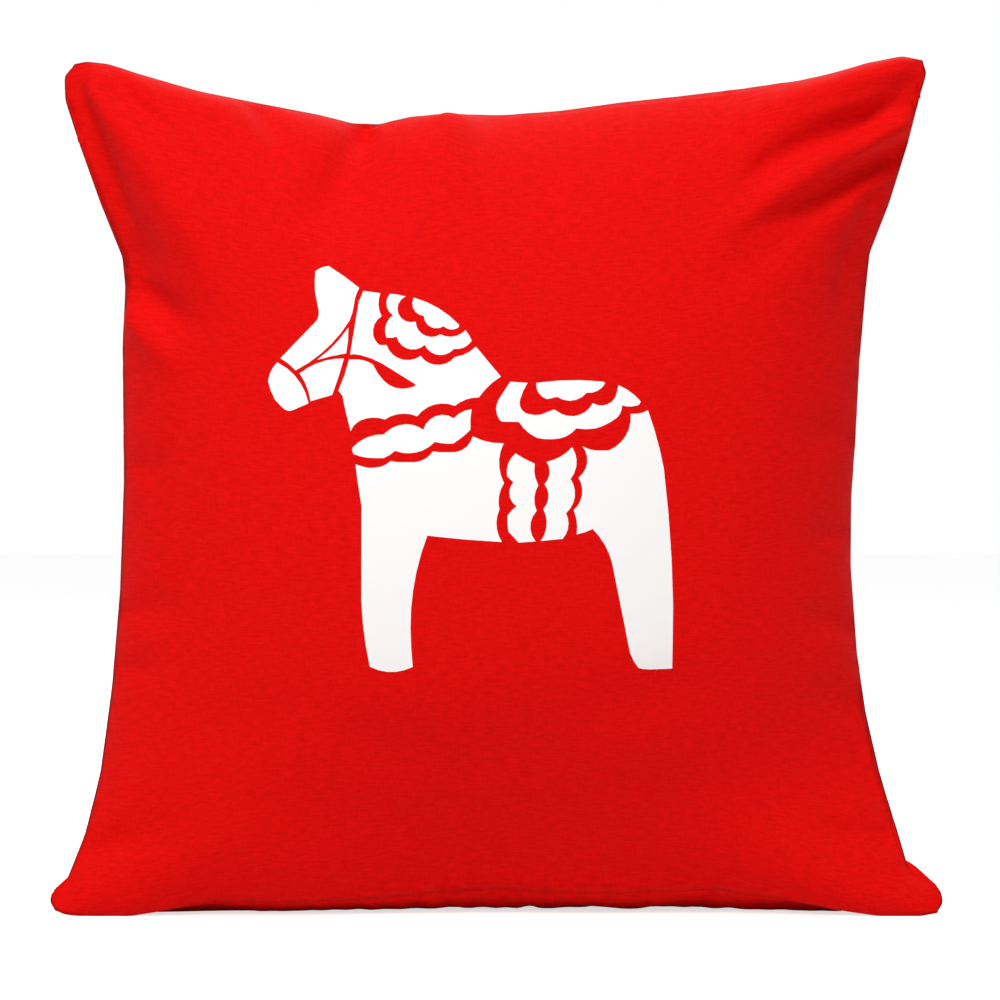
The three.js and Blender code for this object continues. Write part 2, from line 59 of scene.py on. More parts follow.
half_corner_width = 220 * MM
corner_height = 428 * MM
side_pull = 37 * MM
top_dip = 28 * MM
bottom_lift = 10 * MM
outline_power = 2.5
bulge_depth = 80 * MM
bulge_power = 0.6
lean_slope = math.tan(math.radians(5))
toe_step = 26 * MM              # the bottom seam stands this far in front of the leaning plane
toe_reach = 50 * MM
foot_sag = 100 * MM             # how far the filling would hang below the floor it lies on
foot_reach = 0.33
foot_start = 4 * MM             # bulge at which the sag starts, and at which it is whole
foot_full = 30 * MM
seam_shift = -17.387 * MM       # the seam plane stands this far in front of the frame's origin

half_cut = 225 * MM             # half the side of the square each panel is cut to
cloth_cells = 104               # cells across a panel while its cloth settles
cloth_thickness = 0.5 * MM
allowance_width = 10 * MM
allowance_steps = (0.12, 0.44, 0.44)    # shares of its width between its rows of vertices
allowance_room = 2.6 * MM       # a fold goes no deeper than this over the turned-in cloth
allowance_half_gap = 0.2 * MM
allowance_floor = 0.6 * MM      # the turned-in cloth stays this far over the floor
seam_half_gap = 0.12 * MM

# Seams as they lie, in mm: share of the way along the seam, then distance from the middle
# line (side seams) or height over the floor (top and bottom seam).
left_seam = [
    (0, 216.5), (0.01, 219.8), (0.022, 219), (0.032, 212.5), (0.05, 209.8), (0.09, 203.8),
    (0.16, 197.2), (0.26, 192.2), (0.37, 188.8), (0.5, 187.4), (0.66, 188.7), (0.73, 187.6),
    (0.765, 189.2), (0.83, 200.6), (0.9, 211.4), (0.955, 219), (0.985, 219.5), (1, 214),
]
right_seam = [
    (0, 216.5), (0.012, 220.4), (0.028, 219), (0.038, 212.5), (0.046, 204.5), (0.09, 199.6),
    (0.16, 191.2), (0.23, 184.8), (0.3, 180.8), (0.4, 178.2), (0.48, 178.8), (0.55, 181.2),
    (0.64, 183.5), (0.73, 187.2), (0.77, 189.2), (0.83, 199.4), (0.9, 209), (0.96, 215.8),
    (0.985, 219), (1, 216.8),
]
top_seam = [
    (0, 426.2), (0.015, 427.6), (0.044, 426.4), (0.085, 421), (0.156, 412.3), (0.225, 406.2),
    (0.296, 400.2), (0.335, 395.8), (0.365, 395.4), (0.4, 399.2), (0.44, 400.8), (0.505, 400),
    (0.573, 402.2), (0.645, 406.6), (0.713, 409.8), (0.784, 413.6), (0.853, 418), (0.89, 421.6),
    (0.933, 427), (0.975, 430.4), (1, 428.2),
]
bottom_seam = [
    (0, 2.8), (0.012, 0.8), (0.03, 0.1), (0.09, 0.1), (0.13, 2.6), (0.18, 6.8), (0.29, 6.3),
    (0.38, 8.8), (0.44, 11.3), (0.5, 12.9), (0.56, 11.3), (0.63, 10.8), (0.745, 12.8),
    (0.82, 8.2), (0.88, 3), (0.93, 0.1), (0.98, 0.1), (1, 1.5),
]

# Folds pressed into the cloth, in mm: the line of the fold from its root as (x, height),
# its half width at the root and at its end, and how far it stands out (or in) at the root.
front_folds = [
    (
        [(213, 410), (189, 398), (175, 390), (156, 383), (140, 373), (123, 358), (107, 345), (68, 318)],
        4, 18, -9.0,
    ),
    ([(206, 396), (182, 383), (161, 373), (145, 362), (123, 346), (78, 314)], 4, 16, 5.0),
    ([(204, 380), (182, 368), (169, 358), (156, 346), (140, 335), (123, 324), (80, 296)], 4, 16, -5.5),
    ([(208, 424), (180, 413), (140, 400), (95, 370)], 4, 14, 3.0),
    ([(190, 356), (179, 330), (172, 300), (170, 270)], 5, 9, -4.5),
    ([(-214, 414), (-204, 387), (-195, 363), (-184, 338), (-172, 308), (-158, 276)], 4, 14, -8.5),
    ([(-206, 412), (-184, 384), (-162, 352), (-140, 314), (-118, 276)], 4, 14, 4.5),
    ([(-192, 414), (-168, 394), (-147, 372), (-134, 357), (-112, 334)], 3, 9, -3.6),
    ([(-206, 420), (-180, 412), (-140, 398), (-100, 384)], 4, 16, 3.0),
    ([(-122, 405), (-112, 392), (-104, 380)], 5, 8, -2.6),
    ([(-66, 396), (-70, 380), (-82, 350), (-96, 320)], 6, 22, -5.5),
    ([(-22, 400), (-30, 372), (-48, 338)], 10, 26, 3.6),
    ([(-188, 301), (-180, 291), (-169, 280), (-150, 266)], 3, 10, 3.2),
    ([(-189, 324), (-178, 309), (-160, 294), (-138, 284)], 4, 12, -3.5),
    ([(-190, 146), (-172, 152), (-150, 150)], 4, 9, -2.2),
    ([(-192, 118), (-176, 122), (-160, 120)], 4, 8, -1.9),
    ([(-187, 224), (-172, 220), (-158, 222)], 3, 8, -1.6),
    ([(181, 236), (166, 240), (150, 238)], 3, 9, -2.1),
    ([(178, 190), (164, 188), (150, 192)], 3, 8, -1.9),
    ([(181, 140), (166, 146), (146, 150)], 4, 10, -2.6),
    ([(185, 98), (168, 108), (150, 122)], 4, 12, -2.9),
    ([(150, 70), (90, 50), (0, 42), (-70, 48), (-150, 74), (-190, 96)], 40, 30, -7.0),
    ([(-66, 88), (-20, 78), (24, 84), (52, 96)], 12, 18, -3.0),
    ([(52, 104), (95, 114), (132, 106)], 12, 16, -2.6),
    ([(-140, 92), (-90, 104), (-50, 100)], 14, 18, -2.2),
    ([(-214, 17), (-212, 9), (-210, -4)], 2, 3, -4.0),
    ([(200, 34), (176, 44), (150, 66)], 4, 14, -3.2),
    ([(-206, 30), (-182, 38), (-150, 60)], 4, 14, -3.2),
]
back_folds = [
    ([(212, 414), (186, 402), (150, 378), (112, 340)], 4, 18, -6.4),
    ([(-212, 412), (-184, 400), (-146, 374), (-104, 334)], 4, 18, -6.7),
    ([(-204, 388), (-176, 366), (-140, 338)], 4, 16, 4.2),
    ([(204, 390), (178, 366), (136, 340)], 4, 16, 4.2),
    ([(60, 404), (66, 380), (52, 344)], 6, 20, -3.2),
    ([(-186, 250), (-164, 246), (-140, 250)], 3, 10, -2.6),
    ([(182, 262), (160, 256), (138, 262)], 3, 10, -2.6),
    ([(-200, 60), (-174, 72), (-150, 92)], 4, 14, -3.8),
    ([(198, 62), (172, 74), (146, 96)], 4, 14, -3.8),
]

# ---- Zip line -------------------------------------------------------------------------------

zip_radius = 327.329 * MM
zip_axis_depth = -259.169 * MM
zip_slope = 0.2099955
zip_height = 150 * MM
zip_half_length = 140 * MM
tape_half_length = 150 * MM
tape_reach = 13.9 * MM
tape_thickness = 0.45 * MM
window_half_length = 145 * MM
window_edge = zip_radius * math.sin(window_half_length / zip_radius)
window_half_height = 6.1 * MM
hem_height = 1.7 * MM           # outside of the cloth over the middle of the tape
meeting_height = zip_height - hem_height * math.sin(zip_slope)   # where the back panels meet
window_rise = window_half_height * math.cos(zip_slope)
hem_depth = 6 * MM
hem_drop = 1.1 * MM             # outside of the cloth down to the turned-under layer
centre_gap = 0.08 * MM          # zip's middle line to each tape
tape_edge_rise = 0.12 * MM      # the tape's woven edges are a little thicker
coil_pitch = 1.2 * MM
coil_wire = 0.27 * MM           # radius of the nylon wire
coil_reach = (-0.18 * MM, 3.2 * MM)     # heads cross the middle line and mesh with the other row
coil_middle_out = 1.58 * MM
coil_half_out = 1.02 * MM
coil_lean = 0.12                # radians that each turn leans along the zip
stitch_line = 8.7 * MM          # zip's middle line to each row of topstitches
stitch_pitch = 3.0 * MM
stitch_size = (2.5 * MM, 0.5 * MM, 0.42 * MM)       # length, width, height
tack_stitch_size = (2.7 * MM, 0.46 * MM, 0.5 * MM)
tack_stitch_count = 40
tack_stitch_pitch = 0.41 * MM
tack_stitch_lean = 0.1
tack_beyond_window = 1.5 * MM

# ---- How the cloth settles ------------------------------------------------------------------

filling_pressure = 30.0
cloth_ease = 1.02
cloth_frames = 20
cloth_cap = 14 * MM             # the cloth settles no further than this
fold_share_before = 1.0         # share of the folds pressed in before it settles
fold_share_after = 0.6
sewn_reach = (46 * MM, 10 * MM)     # across the zip: from free cloth to cloth drawn to the tape
sewn_run = (180 * MM, 150 * MM)     # the same along the zip
plain_reach = (40 * MM, 16 * MM)    # across the zip: from folded cloth to cloth without folds
plain_run = (175 * MM, 155 * MM)
held_half_height = 12 * MM      # cloth that the zip holds while it settles
held_half_length = 152 * MM
held_depth = 20 * MM
floor_touch = 0.4 * MM

pucker_height = 0.42 * MM
pucker_reach = 7 * MM
seam_waver = 0.5 * MM


# ---- Filled shape ---------------------------------------------------------------------------

def drawn_line(knots, share):
    """A line drawn through its knots, with its corners eased."""
    fine = np.linspace(-0.1, 1.1, 961)
    values = np.interp(fine, [k[0] for k in knots], [k[1] for k in knots])
    ease = np.hanning(13)
    values = np.convolve(values, ease / ease.sum(), mode="same")
    return np.interp(share, fine, values) * MM


def half_width_at(up):
    return half_corner_width - side_pull * (1 - np.abs(up) ** outline_power)


def height_at(across, up):
    drawn = 1 - np.abs(across) ** outline_power
    low = bottom_lift * drawn
    high = corner_height - top_dip * drawn
    return (low + high) / 2 + up * (high - low) / 2


def seam_depth_at(height):
    return seam_shift + height * lean_slope - toe_step * np.exp(-height / toe_reach)


def skin_place(side, across, up):
    """Places on the smooth filled cover, for arrays of across and up from -1 to 1."""
    bulge = bulge_depth * np.clip((1 - across**2) * (1 - up**2), 0, None) ** bulge_power
    x = across * half_width_at(up)
    height = height_at(across, up)
    share_up = (up + 1) / 2
    share_across = (across + 1) / 2
    left, right = drawn_line(left_seam, share_up), drawn_line(right_seam, share_up)
    low, high = drawn_line(bottom_seam, share_across), drawn_line(top_seam, share_across)
    side_line = np.where(across < 0, left, right)
    level_line = np.where(up < 0, low, high)
    x += np.abs(across) ** 6 * np.sign(across) * (side_line - half_width_at(up))
    height += np.abs(up) ** 6 * (level_line - height_at(across, np.sign(up)))
    sag = 0
    if side == BACK:
        near_bottom = np.exp(-(((up + 1) / foot_reach) ** 2))
        sag = foot_sag * near_bottom * (1 - across**12) * ramp(bulge, foot_start, foot_full)
    depth = seam_depth_at(height) + side * bulge
    return np.stack([x, depth, np.maximum(0, height - sag)], axis=-1)


# ---- Zip line as a cone ---------------------------------------------------------------------

def bend_to_zip(places):
    """Turns straight zip places (along, out, over) into places on the curved back."""
    along, out, over = places[..., 0], places[..., 1], places[..., 2]
    turn = along / zip_radius
    radius = zip_radius + out * math.cos(zip_slope) + over * math.sin(zip_slope)
    depth = zip_axis_depth + radius * np.cos(turn)
    height = zip_height + over * math.cos(zip_slope) - out * math.sin(zip_slope)
    return np.stack([radius * np.sin(turn), depth, height], axis=-1)


def unbend_from_zip(places):
    """The straight zip places (along, out, over) of places in the frame."""
    depth = places[..., 1] - zip_axis_depth
    rise = places[..., 2] - zip_height
    beyond = np.hypot(places[..., 0], depth) - zip_radius
    along = zip_radius * np.arctan2(places[..., 0], depth)
    out = beyond * math.cos(zip_slope) - rise * math.sin(zip_slope)
    over = beyond * math.sin(zip_slope) + rise * math.cos(zip_slope)
    return np.stack([along, out, over], axis=-1)


def zip_frame(along, out=0.0, over=0.0):
    """A frame on the zip line: X along it, Y out of the cloth, Z across it."""
    turn = along / zip_radius
    tilt = Matrix.Rotation(-zip_slope, 4, "X")
    place = bend_to_zip(np.array([along, out, over]))
    return Matrix.Translation(Vector(place)) @ Matrix.Rotation(-turn, 4, "Z") @ tilt


def ramp(values, start, end):
    """A smooth step from 0 at start to 1 at end."""
    share = np.clip((values - start) / (end - start), 0, 1)
    return share * share * (3 - 2 * share)


def nearness_to_zip(straight, reach, run):
    """From 0 away from the zip to 1 beside it."""
    return ramp(np.abs(straight[..., 2]), *reach) * ramp(np.abs(straight[..., 0]), *run)


def draw_to_zip(places):
    """The back cloth is sewn to the tape, so beside the zip it lies on the tape."""
    straight = unbend_from_zip(places)
    near = nearness_to_zip(straight, sewn_reach, sewn_run)
    straight[..., 1] += near * (hem_height - straight[..., 1])
    return bend_to_zip(straight)


# ---- Mesh helpers ---------------------------------------------------------------------------

def new_piece(name, bm, slot, body="cushion", replaced=()):
    """Turns a bmesh into a piece that rides on a body and stands for CAD nodes."""
    mesh = bpy.data.meshes.new(name)
    bm.to_mesh(mesh)
    bm.free()
    mesh.polygons.foreach_set("use_smooth", [True] * len(mesh.polygons))
    mesh.polygons.foreach_set("material_index", [0] * len(mesh.polygons))
    mesh.materials.clear()
    mesh.materials.append(finishes[slot])
    piece = bpy.data.objects.new(name, mesh)
    bpy.context.scene.collection.objects.link(piece)
    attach(piece, body)
    if replaced:
        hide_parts(*replaced)
    return piece


def read_places(mesh):
    places = np.empty(len(mesh.vertices) * 3)
    mesh.vertices.foreach_get("co", places)
    return places.reshape(-1, 3)


def read_normals(mesh):
    normals = np.empty(len(mesh.vertices) * 3, np.float32)
    mesh.vertices.foreach_get("normal", normals)
    return normals.reshape(-1, 3).astype(float)


def write_places(mesh, places):
    mesh.vertices.foreach_set("co", places.ravel())
    mesh.update()


def add_copies(bm, shape, frames):
    """Adds a copy of a small shape at each frame."""
    mesh = bpy.data.meshes.new("small_shape")
    for place in frames:
        shape.to_mesh(mesh)
        mesh.transform(place)
        bm.from_mesh(mesh)
    bpy.data.meshes.remove(mesh)


def settled_mesh(piece):
    """The piece's mesh with its modifiers applied."""
    graph = bpy.context.evaluated_depsgraph_get()
    evaluated = piece.evaluated_get(graph)
    return bpy.data.meshes.new_from_object(evaluated, preserve_all_data_layers=True, depsgraph=graph)


# ---- Cover cloth: two square panels sewn edge to edge and blown up ---------------------------

def fold_heights(places, folds):
    """How far each place stands out because of the folds."""
    spots = places[:, [0, 2]]
    total = np.zeros(len(spots))
    for line, root_width, end_width, rise in folds:
        knots = np.array(line) * MM
        spans = np.linalg.norm(np.diff(knots, axis=0), axis=1)
        runs = np.concatenate([[0], np.cumsum(spans)]) / spans.sum()
        best = np.full(len(spots), 1e9)
        share = np.zeros(len(spots))
        for i, span in enumerate(spans):
            along = (knots[i + 1] - knots[i]) / span
            reach = np.clip((spots - knots[i]) @ along, 0, span)
            gap = np.linalg.norm(spots - knots[i] - reach[:, None] * along, axis=1)
            nearer = gap < best
            best[nearer] = gap[nearer]
            share[nearer] = (runs[i] + (runs[i + 1] - runs[i]) * reach / span)[nearer]
        width = (root_width + (end_width - root_width) * share) * MM
        fade = ramp(share, 1.0, 0.45)
        total += rise * MM * fade * np.exp(-((best / width) ** 2))
    return total


def plan_of(mesh):
    """Across and up of each vertex, from the UV map of the cut panels."""
    plan = np.zeros((len(mesh.vertices), 2))
    loop_verts = np.empty(len(mesh.loops), int)
    mesh.loops.foreach_get("vertex_index", loop_verts)
    uv = np.empty(len(mesh.loops) * 2, np.float32)
    mesh.uv_layers["cloth_plan"].data.foreach_get("uv", uv)
    plan[loop_verts] = uv.reshape(-1, 2) / half_cut
    return np.clip(plan, -1, 1)


def sew_cushion():
    """Both panels as one closed body, with the cut square of each kept as its UV map."""
    bm = bmesh.new()
    cloth_plan = bm.loops.layers.uv.new("cloth_plan")
    for side in (FRONT, BACK):
        made = bmesh.ops.create_grid(bm, x_segments=cloth_cells, y_segments=cloth_cells, size=1)["verts"]
        plan = np.array([v.co for v in made])
        faces = list({f for v in made for f in v.link_faces})
        for face in faces:
            face.material_index = 0 if side == FRONT else 1
            for loop in face.loops:
                loop[cloth_plan].uv = (loop.vert.co.x * half_cut, loop.vert.co.y * half_cut)
        places = skin_place(side, plan[:, 0], plan[:, 1])
        if side == BACK:
            places = draw_to_zip(places)
            bmesh.ops.reverse_faces(bm, faces=faces)
        for vert, place in zip(made, places):
            vert.co = place
    bmesh.ops.remove_doubles(bm, verts=bm.verts, dist=1e-6)
    mesh = bpy.data.meshes.new("sewn_cushion")
    bm.to_mesh(mesh)
    bm.free()
    cushion = bpy.data.objects.new("sewn_cushion", mesh)
    bpy.context.scene.collection.objects.link(cushion)
    return cushion


def press_folds(mesh, share):
    """Presses a share of the folds into the panels, and none beside the zip."""
    places = read_places(mesh)
    normals = read_normals(mesh)
    plan = plan_of(mesh)
    inside = ramp(np.max(np.abs(plan), axis=1), 1.0, 0.985)
    on_front = normals[:, 1] < 0
    heights = np.where(on_front, fold_heights(places, front_folds), fold_heights(places, back_folds))
    straight = unbend_from_zip(places)
    clear_of_zip = 1 - nearness_to_zip(straight, plain_reach, plain_run)
    heights = share * heights * inside * np.where(on_front, 1, clear_of_zip)
    sides = np.where(on_front, FRONT, BACK)
    before = sides * (places[:, 1] - seam_depth_at(places[:, 2]))
    places = places + normals * heights[:, None]
    after = sides * (places[:, 1] - seam_depth_at(places[:, 2]))
    short = np.maximum(0, np.minimum(before, allowance_room) - after)
    places[:, 1] += sides * short
    places[:, 2] = np.maximum(places[:, 2], 0)
    write_places(mesh, places)


def hold_seams(cushion, places, plan):
    """The seam, the zip and the foot stay where they are while the cloth settles."""
    straight = unbend_from_zip(places)
    on_seam = np.max(np.abs(plan), axis=1) > 0.9999
    at_zip = places[:, 1] > held_depth
    at_zip &= np.abs(straight[:, 2]) < held_half_height
    at_zip &= np.abs(straight[:, 0]) < held_half_length
    at_floor = places[:, 2] < floor_touch
    held = cushion.vertex_groups.new(name="held")
    held.add([int(i) for i in np.nonzero(on_seam | at_zip | at_floor)[0]], 1.0, "REPLACE")


def settle_cloth(cushion):
    """Lets the sewn cloth settle under the push of its filling."""
    start = read_places(cushion.data)
    plan = plan_of(cushion.data)
    hold_seams(cushion, start, plan)
    cushion.shape_key_add(name="filled")
    cut = cushion.shape_key_add(name="cut")
    flat = np.stack([plan[:, 0], plan[:, 0] * 0, plan[:, 1]], axis=-1) * half_cut * cloth_ease
    cut.data.foreach_set("co", flat.ravel())
    cut.value = 0
    cloth = cushion.modifiers.new("cloth", "CLOTH")
    settings = cloth.settings
    settings.quality = 5
    settings.mass = 0.0001
    settings.tension_stiffness = 12
    settings.compression_stiffness = 6
    settings.shear_stiffness = 3
    settings.bending_stiffness = 0.01
    settings.air_damping = 1
    settings.use_pressure = True
    settings.uniform_pressure_force = filling_pressure
    settings.vertex_group_mass = "held"
    settings.rest_shape_key = cut
    settings.effector_weights.gravity = 0
    cloth.point_cache.frame_start = 1
    cloth.point_cache.frame_end = cloth_frames
    scene = bpy.context.scene
    for step in range(1, cloth_frames + 1):
        scene.frame_set(step)
    settled = settled_mesh(cushion)
    scene.frame_set(1)
    cushion.modifiers.remove(cloth)
    cushion.shape_key_clear()
    moved = read_places(settled) - start
    reach = np.linalg.norm(moved, axis=1, keepdims=True)
    moved *= np.minimum(1, cloth_cap / np.maximum(reach, 1e-9))
    places = start + moved
    places[:, 2] = np.maximum(places[:, 2], 0)
    bpy.data.meshes.remove(settled)
    write_places(cushion.data, places)


def pucker_wave(run, which):
    """An uneven ripple along a seam; which tells the four seams apart."""
    wave = np.sin(run * 480 + 2.2 * np.sin(run * 47 + which) + which)
    wave += 0.7 * np.sin(run * 290 + 1.7 * np.sin(run * 71 - which))
    strength = np.clip(0.55 + 0.45 * np.sin(run * 33 + 2 * which), 0.1, 1)
    corner = 1 - np.abs(run / half_cut) ** 8
    return wave * strength * corner


def make_finer(cushion):
    """One subdivision, then the small puckers beside the seams."""
    finer = cushion.modifiers.new("finer", "SUBSURF")
    finer.levels = 1
    finer.render_levels = 1
    fine = settled_mesh(cushion)
    cushion.modifiers.remove(finer)
    cushion.data = fine
    places = read_places(fine)
    plan = plan_of(fine)
    normals = read_normals(fine)
    across, up = plan[:, 0], plan[:, 1]
    beside = np.abs(across) > np.abs(up)
    run = np.where(beside, up, across) * half_cut
    which = np.where(beside, np.sign(across) * 3.1, np.sign(up) * 7.7)
    inward = (1 - np.maximum(np.abs(across), np.abs(up))) * half_cut
    wave = pucker_wave(run, which)
    height = pucker_height * wave * np.exp(-inward / pucker_reach) * ramp(inward, 0, 1.5 * MM)
    places += normals * height[:, None]
    on_seam = inward < 0.02 * MM
    places[on_seam] = skin_place(FRONT, across[on_seam], up[on_seam])
    places[on_seam, 1] += (seam_waver * wave)[on_seam]
    places[:, 2] = np.maximum(places[:, 2], 0)
    write_places(fine, places)


def keep_side(bm, side):
    """Leaves only the faces of the front or of the back panel."""
    kept = 0 if side == FRONT else 1
    other = [f for f in bm.faces if f.material_index != kept]
    bmesh.ops.delete(bm, geom=other, context="FACES")


def half_of(cushion, side):
    """The front or the back panel as a bmesh of its own."""
    bm = bmesh.new()
    bm.from_mesh(cushion.data)
    keep_side(bm, side)
    return bm


def turn_in_allowance(bm, rim, side):
    """Moves the panel's edge to its own side of the seam and turns its allowance in."""
    for vert in {v for e in rim for v in e.verts}:
        vert.co.y += side * seam_half_gap
    middle = corner_height / 2
    for share in allowance_steps:
        made = bmesh.ops.extrude_edge_only(bm, edges=rim)["geom"]
        verts = [g for g in made if isinstance(g, bmesh.types.BMVert)]
        rim = [g for g in made if isinstance(g, bmesh.types.BMEdge)]
        step = allowance_width * share
        for vert in verts:
            beside, level = vert.co.x / half_corner_width, (vert.co.z - middle) / middle
            furthest = max(abs(beside), abs(level), 0.5)
            height = max(vert.co.z - level / furthest * step, allowance_floor)
            x = vert.co.x - beside / furthest * step
            vert.co = (x, seam_depth_at(height) + side * allowance_half_gap, height)


def thicken(piece, thickness, offset=-1):
    wall = piece.modifiers.new("wall", "SOLIDIFY")
    wall.thickness = thickness
    wall.offset = offset
    wall.use_even_offset = False


def make_front_panel(cushion):
    """The printed panel; gives back its outside, on which the print lies."""
    bm = half_of(cushion, FRONT)
    tree = BVHTree.FromBMesh(bm)
    turn_in_allowance(bm, [e for e in bm.edges if e.is_boundary], FRONT)
    panel = new_piece("cover_front", bm, "cover", replaced=["front_panel"])
    thicken(panel, cloth_thickness)
    return tree


def cut_level(bm, height):
    """Cuts the panel through at a height."""
    geometry = bm.verts[:] + bm.edges[:] + bm.faces[:]
    bmesh.ops.bisect_plane(bm, geom=geometry, plane_co=(0, 0, height), plane_no=(0, 0, 1))


def make_back_panel(cushion, name, node, sign):
    """The back panel above (sign 1) or below (sign -1) the zip."""
    bm = half_of(cushion, BACK)
    for rise in (0, window_rise, window_rise + 2 * MM):
        cut_level(bm, meeting_height + sign * rise)
    for x in (-window_edge, window_edge):
        near = [f for f in bm.faces if abs(f.calc_center_median().z - meeting_height) < 12 * MM]
        near_edges = list({e for f in near for e in f.edges})
        near_verts = list({v for f in near for v in f.verts})
        geometry = near + near_edges + near_verts
        bmesh.ops.bisect_plane(bm, geom=geometry, plane_co=(x, 0, 0), plane_no=(1, 0, 0))
    beyond = []
    for face in bm.faces:
        centre = face.calc_center_median()
        over = sign * (centre.z - meeting_height)
        if over < 0 or (over < window_rise and abs(centre.x) < window_edge):
            beyond.append(face)
    rim_before = {v for e in bm.edges if e.is_boundary for v in e.verts}
    bmesh.ops.delete(bm, geom=beyond, context="FACES")
    tree = BVHTree.FromBMesh(bm)
    opening = [e for e in bm.edges if e.is_boundary and not all(v in rim_before for v in e.verts)]
    turn_hem(bm, opening, sign)
    rim = [e for e in bm.edges if e.is_boundary and all(v in rim_before for v in e.verts)]
    turn_in_allowance(bm, rim, BACK)
    panel = new_piece(name, bm, "cover", replaced=[node])
    thicken(panel, cloth_thickness)
    return tree


def turn_hem(bm, opening, sign):
    """Folds the cut edge of the zip opening, and of the short seams beside it, under."""
    steps = [(0.3 * MM, hem_drop / 2), (-0.3 * MM, hem_drop / 2), (-hem_depth, 0)]
    rim = opening
    for inward, drop in steps:
        made = bmesh.ops.extrude_edge_only(bm, edges=rim)["geom"]
        verts = [g for g in made if isinstance(g, bmesh.types.BMVert)]
        rim = [g for g in made if isinstance(g, bmesh.types.BMEdge)]
        straight = unbend_from_zip(np.array([v.co for v in verts]))
        for vert, place in zip(verts, straight):
            at_window = abs(place[0]) < window_half_length + 9 * MM
            over_edge = sign * place[2]
            if at_window and over_edge > 4 * MM:
                place[2] -= sign * inward
            elif at_window and abs(place[0]) < window_half_length + 7 * MM:
                place[0] -= inward * math.copysign(1, place[0])
            else:
                place[2] -= sign * (inward if inward > 0 else 0)
                place[1] -= 1.0 * MM if inward < -1 * MM else 0
            place[1] -= drop
            vert.co = bend_to_zip(place)


# ---- Insert and filling ---------------------------------------------------------------------

insert_share = 0.925
insert_room = 2.2 * MM          # from the cloth to the insert
filling_share = 0.905
filling_room = 4.2 * MM
lump_size = 22 * MM
lump_height = 5 * MM
insert_thickness = 0.3 * MM
corner_slack = 0.10             # share by which the insert falls short of the cover's corners


def shrunk(cushion, share, room, trees, lumps=0.0):
    """The cushion's body drawn in towards its middle, kept clear of the cloth by a room."""
    bm = bmesh.new()
    bm.from_mesh(cushion.data)
    middle = corner_height / 2
    for vert in bm.verts:
        x, depth, height = vert.co
        bulge = depth - seam_depth_at(height)
        side = BACK if bulge > 0 else FRONT
        nearness_to_corner = abs(x / half_corner_width * (height - middle) / middle) ** 4
        tightness = share * (1 - corner_slack * nearness_to_corner)
        x *= tightness
        height = middle + (height - middle) * tightness
        lump = lumps * noise.noise(Vector((x, depth, height)) / lump_size)
        seam = seam_depth_at(height)
        reach = abs(bulge) * share + lump * min(1, abs(bulge) / lump_size)
        spot = outside_spot(trees[side], side, x, height)
        if spot is not None:
            reach = min(reach, side * (spot.y - seam) - room)
        vert.co = (x, seam + side * max(reach, 0), height)
    return bm


def outside_spot(trees, side, x, height):
    """Where the cloth of a side lies over a place of the seam plane."""
    for tree in trees:
        spot = tree.ray_cast(Vector((x, side * 0.5, height)), Vector((0, -side, 0)))[0]
        if spot is not None:
            return spot
    return None


def make_insert(cushion, trees):
    """The two halves of the case that holds the filling."""
    for side, name in ((FRONT, "front"), (BACK, "back")):
        bm = shrunk(cushion, insert_share, insert_room, trees)
        keep_side(bm, side)
        for vert in {v for e in bm.edges if e.is_boundary for v in e.verts}:
            vert.co.y += side * seam_half_gap
        half = new_piece(f"insert_{name}", bm, "insert", replaced=[f"insert_case_{name}"])
        thicken(half, insert_thickness)


def make_filling(cushion, trees):
    """The packed fibre, a little lumpy."""
    bm = shrunk(cushion, filling_share, filling_room, trees, lumps=lump_height)
    filling = new_piece("filling", bm, "filling", replaced=["fibre_filling"])


# ---- Print ----------------------------------------------------------------------------------

ink_cell = 4 * MM
ink_height = 0.16 * MM
ink_thickness = 0.12 * MM


def make_ink_field(node_name, cloth_tree):
    """One field of the horse: its outline from the frame, laid on the cloth as a thin film."""
    bm = bmesh.new()
    bm.from_mesh(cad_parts[node_name].data)
    bmesh.ops.remove_doubles(bm, verts=bm.verts, dist=1e-6)
    bm.normal_update()
    hidden = [f for f in bm.faces if f.normal.y > -0.3]
    bmesh.ops.delete(bm, geom=hidden, context="FACES")
    low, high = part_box(node_name)
    for vert in bm.verts:
        vert.co.y = 0
    for axis in (0, 2):
        first = math.ceil(low[axis] / ink_cell)
        last = math.floor(high[axis] / ink_cell)
        direction = Vector((1, 0, 0)) if axis == 0 else Vector((0, 0, 1))
        for step in range(first, last + 1):
            geometry = bm.verts[:] + bm.edges[:] + bm.faces[:]
            place = direction * step * ink_cell
            bmesh.ops.bisect_plane(bm, geom=geometry, dist=1e-6, plane_co=place, plane_no=direction)
    for vert in bm.verts:
        in_front = Vector((vert.co.x, -0.5, vert.co.z))
        spot, normal, face, gap = cloth_tree.ray_cast(in_front, Vector((0, 1, 0)))
        vert.co = spot + normal * ink_height
    for edge in bm.edges:
        edge.smooth = not edge.is_boundary
    name = node_name.replace("print_", "ink_")
    piece = new_piece(name, bm, "print", replaced=[node_name])
    thicken(piece, ink_thickness)


# ---- Zip ------------------------------------------------------------------------------------

SIDES = {"upper": 1, "lower": -1}


